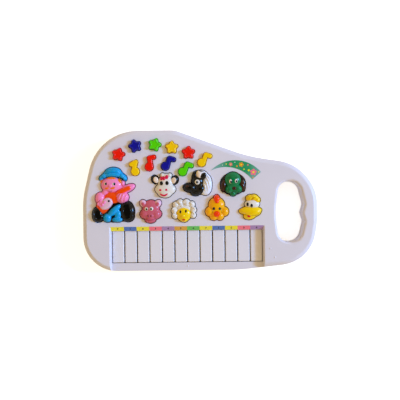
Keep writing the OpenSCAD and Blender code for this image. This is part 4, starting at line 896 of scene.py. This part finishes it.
def stickerFilm():  # printed film: green in the middle of the arch, teal at its ends, a flat gloss
    material = bpy.data.materials.new("ink_arch")
    tree = emptyTree(material)
    where = addNode(tree, "TexCoord")
    heart = [c * mm for c in sticker["heart"] + (sticker["top"],)]
    near, far = [c * mm for c in sticker["fade"]]
    away = addNode(tree, "VectorMath", {0: where.outputs["Object"], 1: heart}, operation="DISTANCE")
    depth = addNode(tree, "MapRange", {"Value": away.outputs["Value"], "From Min": near, "From Max": far})
    flow = addNode(tree, "TexNoise", {
        "Vector": where.outputs["Object"], "Scale": sticker["cloud"], "Detail": 2.0})
    sway = addNode(tree, "Math", {0: flow.outputs["Fac"], 1: sticker["sway"], 2: -sticker["sway"] / 2},
                   operation="MULTIPLY_ADD")
    mixed = addNode(tree, "Math", {0: depth.outputs["Result"], 1: sway.outputs[0]},
                    operation="ADD", use_clamp=True)
    tint = addNode(tree, "Mix", {
        0: mixed.outputs[0], 6: linear(sticker["green"]), 7: linear(sticker["teal"])}, data_type="RGBA")
    shader = addNode(tree, "BsdfPrincipled", {
        "Base Color": tint.outputs[2], "Roughness": 0.3, "IOR": 1.49})
    addNode(tree, "OutputMaterial", {"Surface": shader.outputs[0]})
    finishes["ink_arch"] = material


def arcReach(way, radius, shift):  # distance along a direction to a circle whose middle is shifted
    along = way[0] * shift[0] + way[1] * shift[1]
    return along + sqrt(along * along - shift[0] ** 2 - shift[1] ** 2 + radius * radius)


def disc(spot, radius, over):  # a printed dot on the film
    top = sticker["top"]
    return loftOf([capsuleRing(spot, spot, radius, z) for z in (top - sticker["sunk"], top + over)])


def stickerPrint():  # plain blossoms and dots along the arch
    parts = []
    cx, cy = sticker["at"]
    for k, (degrees, share, kind, colour, size) in enumerate(sticker["print"]):
        way = (cos(radians(degrees)), sin(radians(degrees)))
        near = arcReach(way, sticker["inner"], sticker["shift"])
        reach = near + (sticker["reach"] - near) * share
        spot = (cx + way[0] * reach, cy + way[1] * reach)
        if kind == "dot":
            parts.append(("ink_" + colour, disc(spot, size, sticker["ink"])))
            continue
        off = size * sticker["petalAt"]
        for j in range(sticker["petals"]):
            lean = 2 * pi * j / sticker["petals"] + k
            petal = (spot[0] + off * cos(lean), spot[1] + off * sin(lean))
            parts.append(("ink_" + colour, disc(petal, size * sticker["petal"], sticker["ink"])))
        parts.append(("ink_yellow", disc(spot, size * sticker["stamen"], sticker["stamenInk"])))
    settle(painted("sticker_print", parts), "case", None, "label")


stickerFilm()
stickerPrint()

pips = {"at": [(104.6, -74.1, 36), (111.5, -87.3, 36), (-19.6, -99.5, 26.5)],
        "radius": 1.6, "sunk": 0.05, "high": 0.45, "steps": 5}


def mouldPips():  # small marks left by the mould on the panel and the sill
    parts = []
    radius, high = pips["radius"], pips["high"]
    for x, y, z in pips["at"]:
        rings = [capsuleRing((x, y), (x, y), radius * cos(a), z - pips["sunk"] + high * sin(a))
                 for a in bends(pips["steps"])[:-1]]
        parts.append(("casing_abs", loftOf(rings)))
    settle(painted("mould_pips", parts), "case", None, "casing")


mouldPips()
print("strip, sticker and mould marks done")

# finishes of what is inside and below
plastic("screw_steel", "B8B4AC", 0.32, 8, 0.12, 0.5, 0.01, 2.5, 0.5, 1.0)  # zinc-plated steel: grey glint
plastic("speaker_tin", "A6A6A8", 0.38, 12, 0.12, 0.6, 0.02, 2.5, 0.5, 1.0)  # pressed tin: duller grey metal
plastic("board_laminate", "8A6A34", 0.5, 9, 0.12, 0.7, 0.02)  # phenolic board: brown, slightly shiny
plastic("dome_silicone", "A9ABA8", 0.6, 6, 0.06, 0.6, 0.02)  # silicone rubber: soft grey, no highlight
plastic("ribbon_pvc", "C9C9C6", 0.4, 5, 0.08, 0.6, 0.02)  # ribbon cable: grey, satin
plastic("black_abs", "141414", 0.4, 14, 0.12, 0.8, 0.03)  # black plastic: satin
plastic("lamp_epoxy", "F3E7BC", 0.12, 5, 0.05, 0.9, 0.01)  # epoxy with a yellow tint: glassy
plastic("cone_paper", "2A2724", 0.75, 7, 0.15, 0.5, 0.06)  # pressed paper: dark, fibrous
plastic("ferrite", "33312F", 0.55, 9, 0.12, 0.5, 0.04)  # ferrite: dark grey, granular
plastic("wire_black", "1B1B1B", 0.45, 5, 0.1, 0.7, 0.02)  # PVC sleeve: black
plastic("wire_red", "B01A14", 0.42, 5, 0.1, 0.7, 0.02)  # PVC sleeve: red
plastic("cell_sleeve", "3F7D46", 0.3, 20, 0.08, 0.8, 0.01)  # shrink sleeve: green, shiny

# rings are radius and share of the height, keep is the share of the height left when pressed
rubber = {"rings": [(4.5, 0), (4.35, 0.1), (3.9, 0.34), (3.5, 0.6), (3.2, 0.88), (2.95, 0.97), (2.6, 1)],
          "button": {"low": 23.7, "high": 5, "keep": 0.48, "node": "button_domes"},
          "key": {"low": 14.22, "high": 4.78, "keep": 0.47, "node": "key_domes", "middle": -67.5}}


def rubberDome(name, at, plan):  # rubber dome under a button or key
    low, high, keep = plan["low"], plan["high"], plan["keep"]
    rings = [capsuleRing(at, at, radius, low + high * share) for radius, share in rubber["rings"]]
    dome = solidOf("dome_" + name, *loftOf(rings))
    smoothOver(dome, angle=50, weighted=False)
    settle(dome, "case", "dome_silicone", "dome_rubber", plan["node"])
    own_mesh(dome)


def rubberDomes():
    places = [(name + "_button", plan["at"]) for name, plan in heads.items()]
    places += [("star_button_%d" % (i + 1), at) for i, at in enumerate(starPlan["at"])]
    places += [("note_button_%d" % (i + 1), at) for i, at in enumerate(notePlan["at"])]
    for name, at in places:
        rubberDome(name, at, rubber["button"])
    for i in range(keyRow["count"]):
        name = "key_%02d" % (i + 1)
        rubberDome(name, (keyAt(i), rubber["key"]["middle"]), rubber["key"])


rubberDomes()

# nodes that keep the frame's shapes, by finish
inside = {
    "bay_abs": ["battery_door"], "ink_arch": ["panel_sticker"], "ribbon_pvc": ["board_ribbon"],
    # the figure plate is black also to stand in for the shade in the gap round the musician: painted shade
    "black_abs": ["figure_plate", "sound_chip", "switch_body", "switch_knob"],
    "screw_steel": ["key_hinge_rod", "board_screws", "case_screws", "battery_door_screw", "battery_springs",
                    "battery_plates"],
    "board_laminate": ["key_board", "button_board"], "lamp_epoxy": ["figure_lamp"],
    "speaker_tin": ["speaker_frame"], "cone_paper": ["speaker_cone"], "ferrite": ["speaker_magnet"],
    "wire_black": ["speaker_leads"], "wire_red": ["battery_leads"], "cell_sleeve": ["battery_cells"]}
for finishName, nodeNames in inside.items():
    for nodeName in nodeNames:
        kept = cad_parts[nodeName]
        kept.data.materials.clear()
        kept.data.materials.append(finishes[finishName])
print("domes and inner finishes done")

bpy.context.view_layer.update()
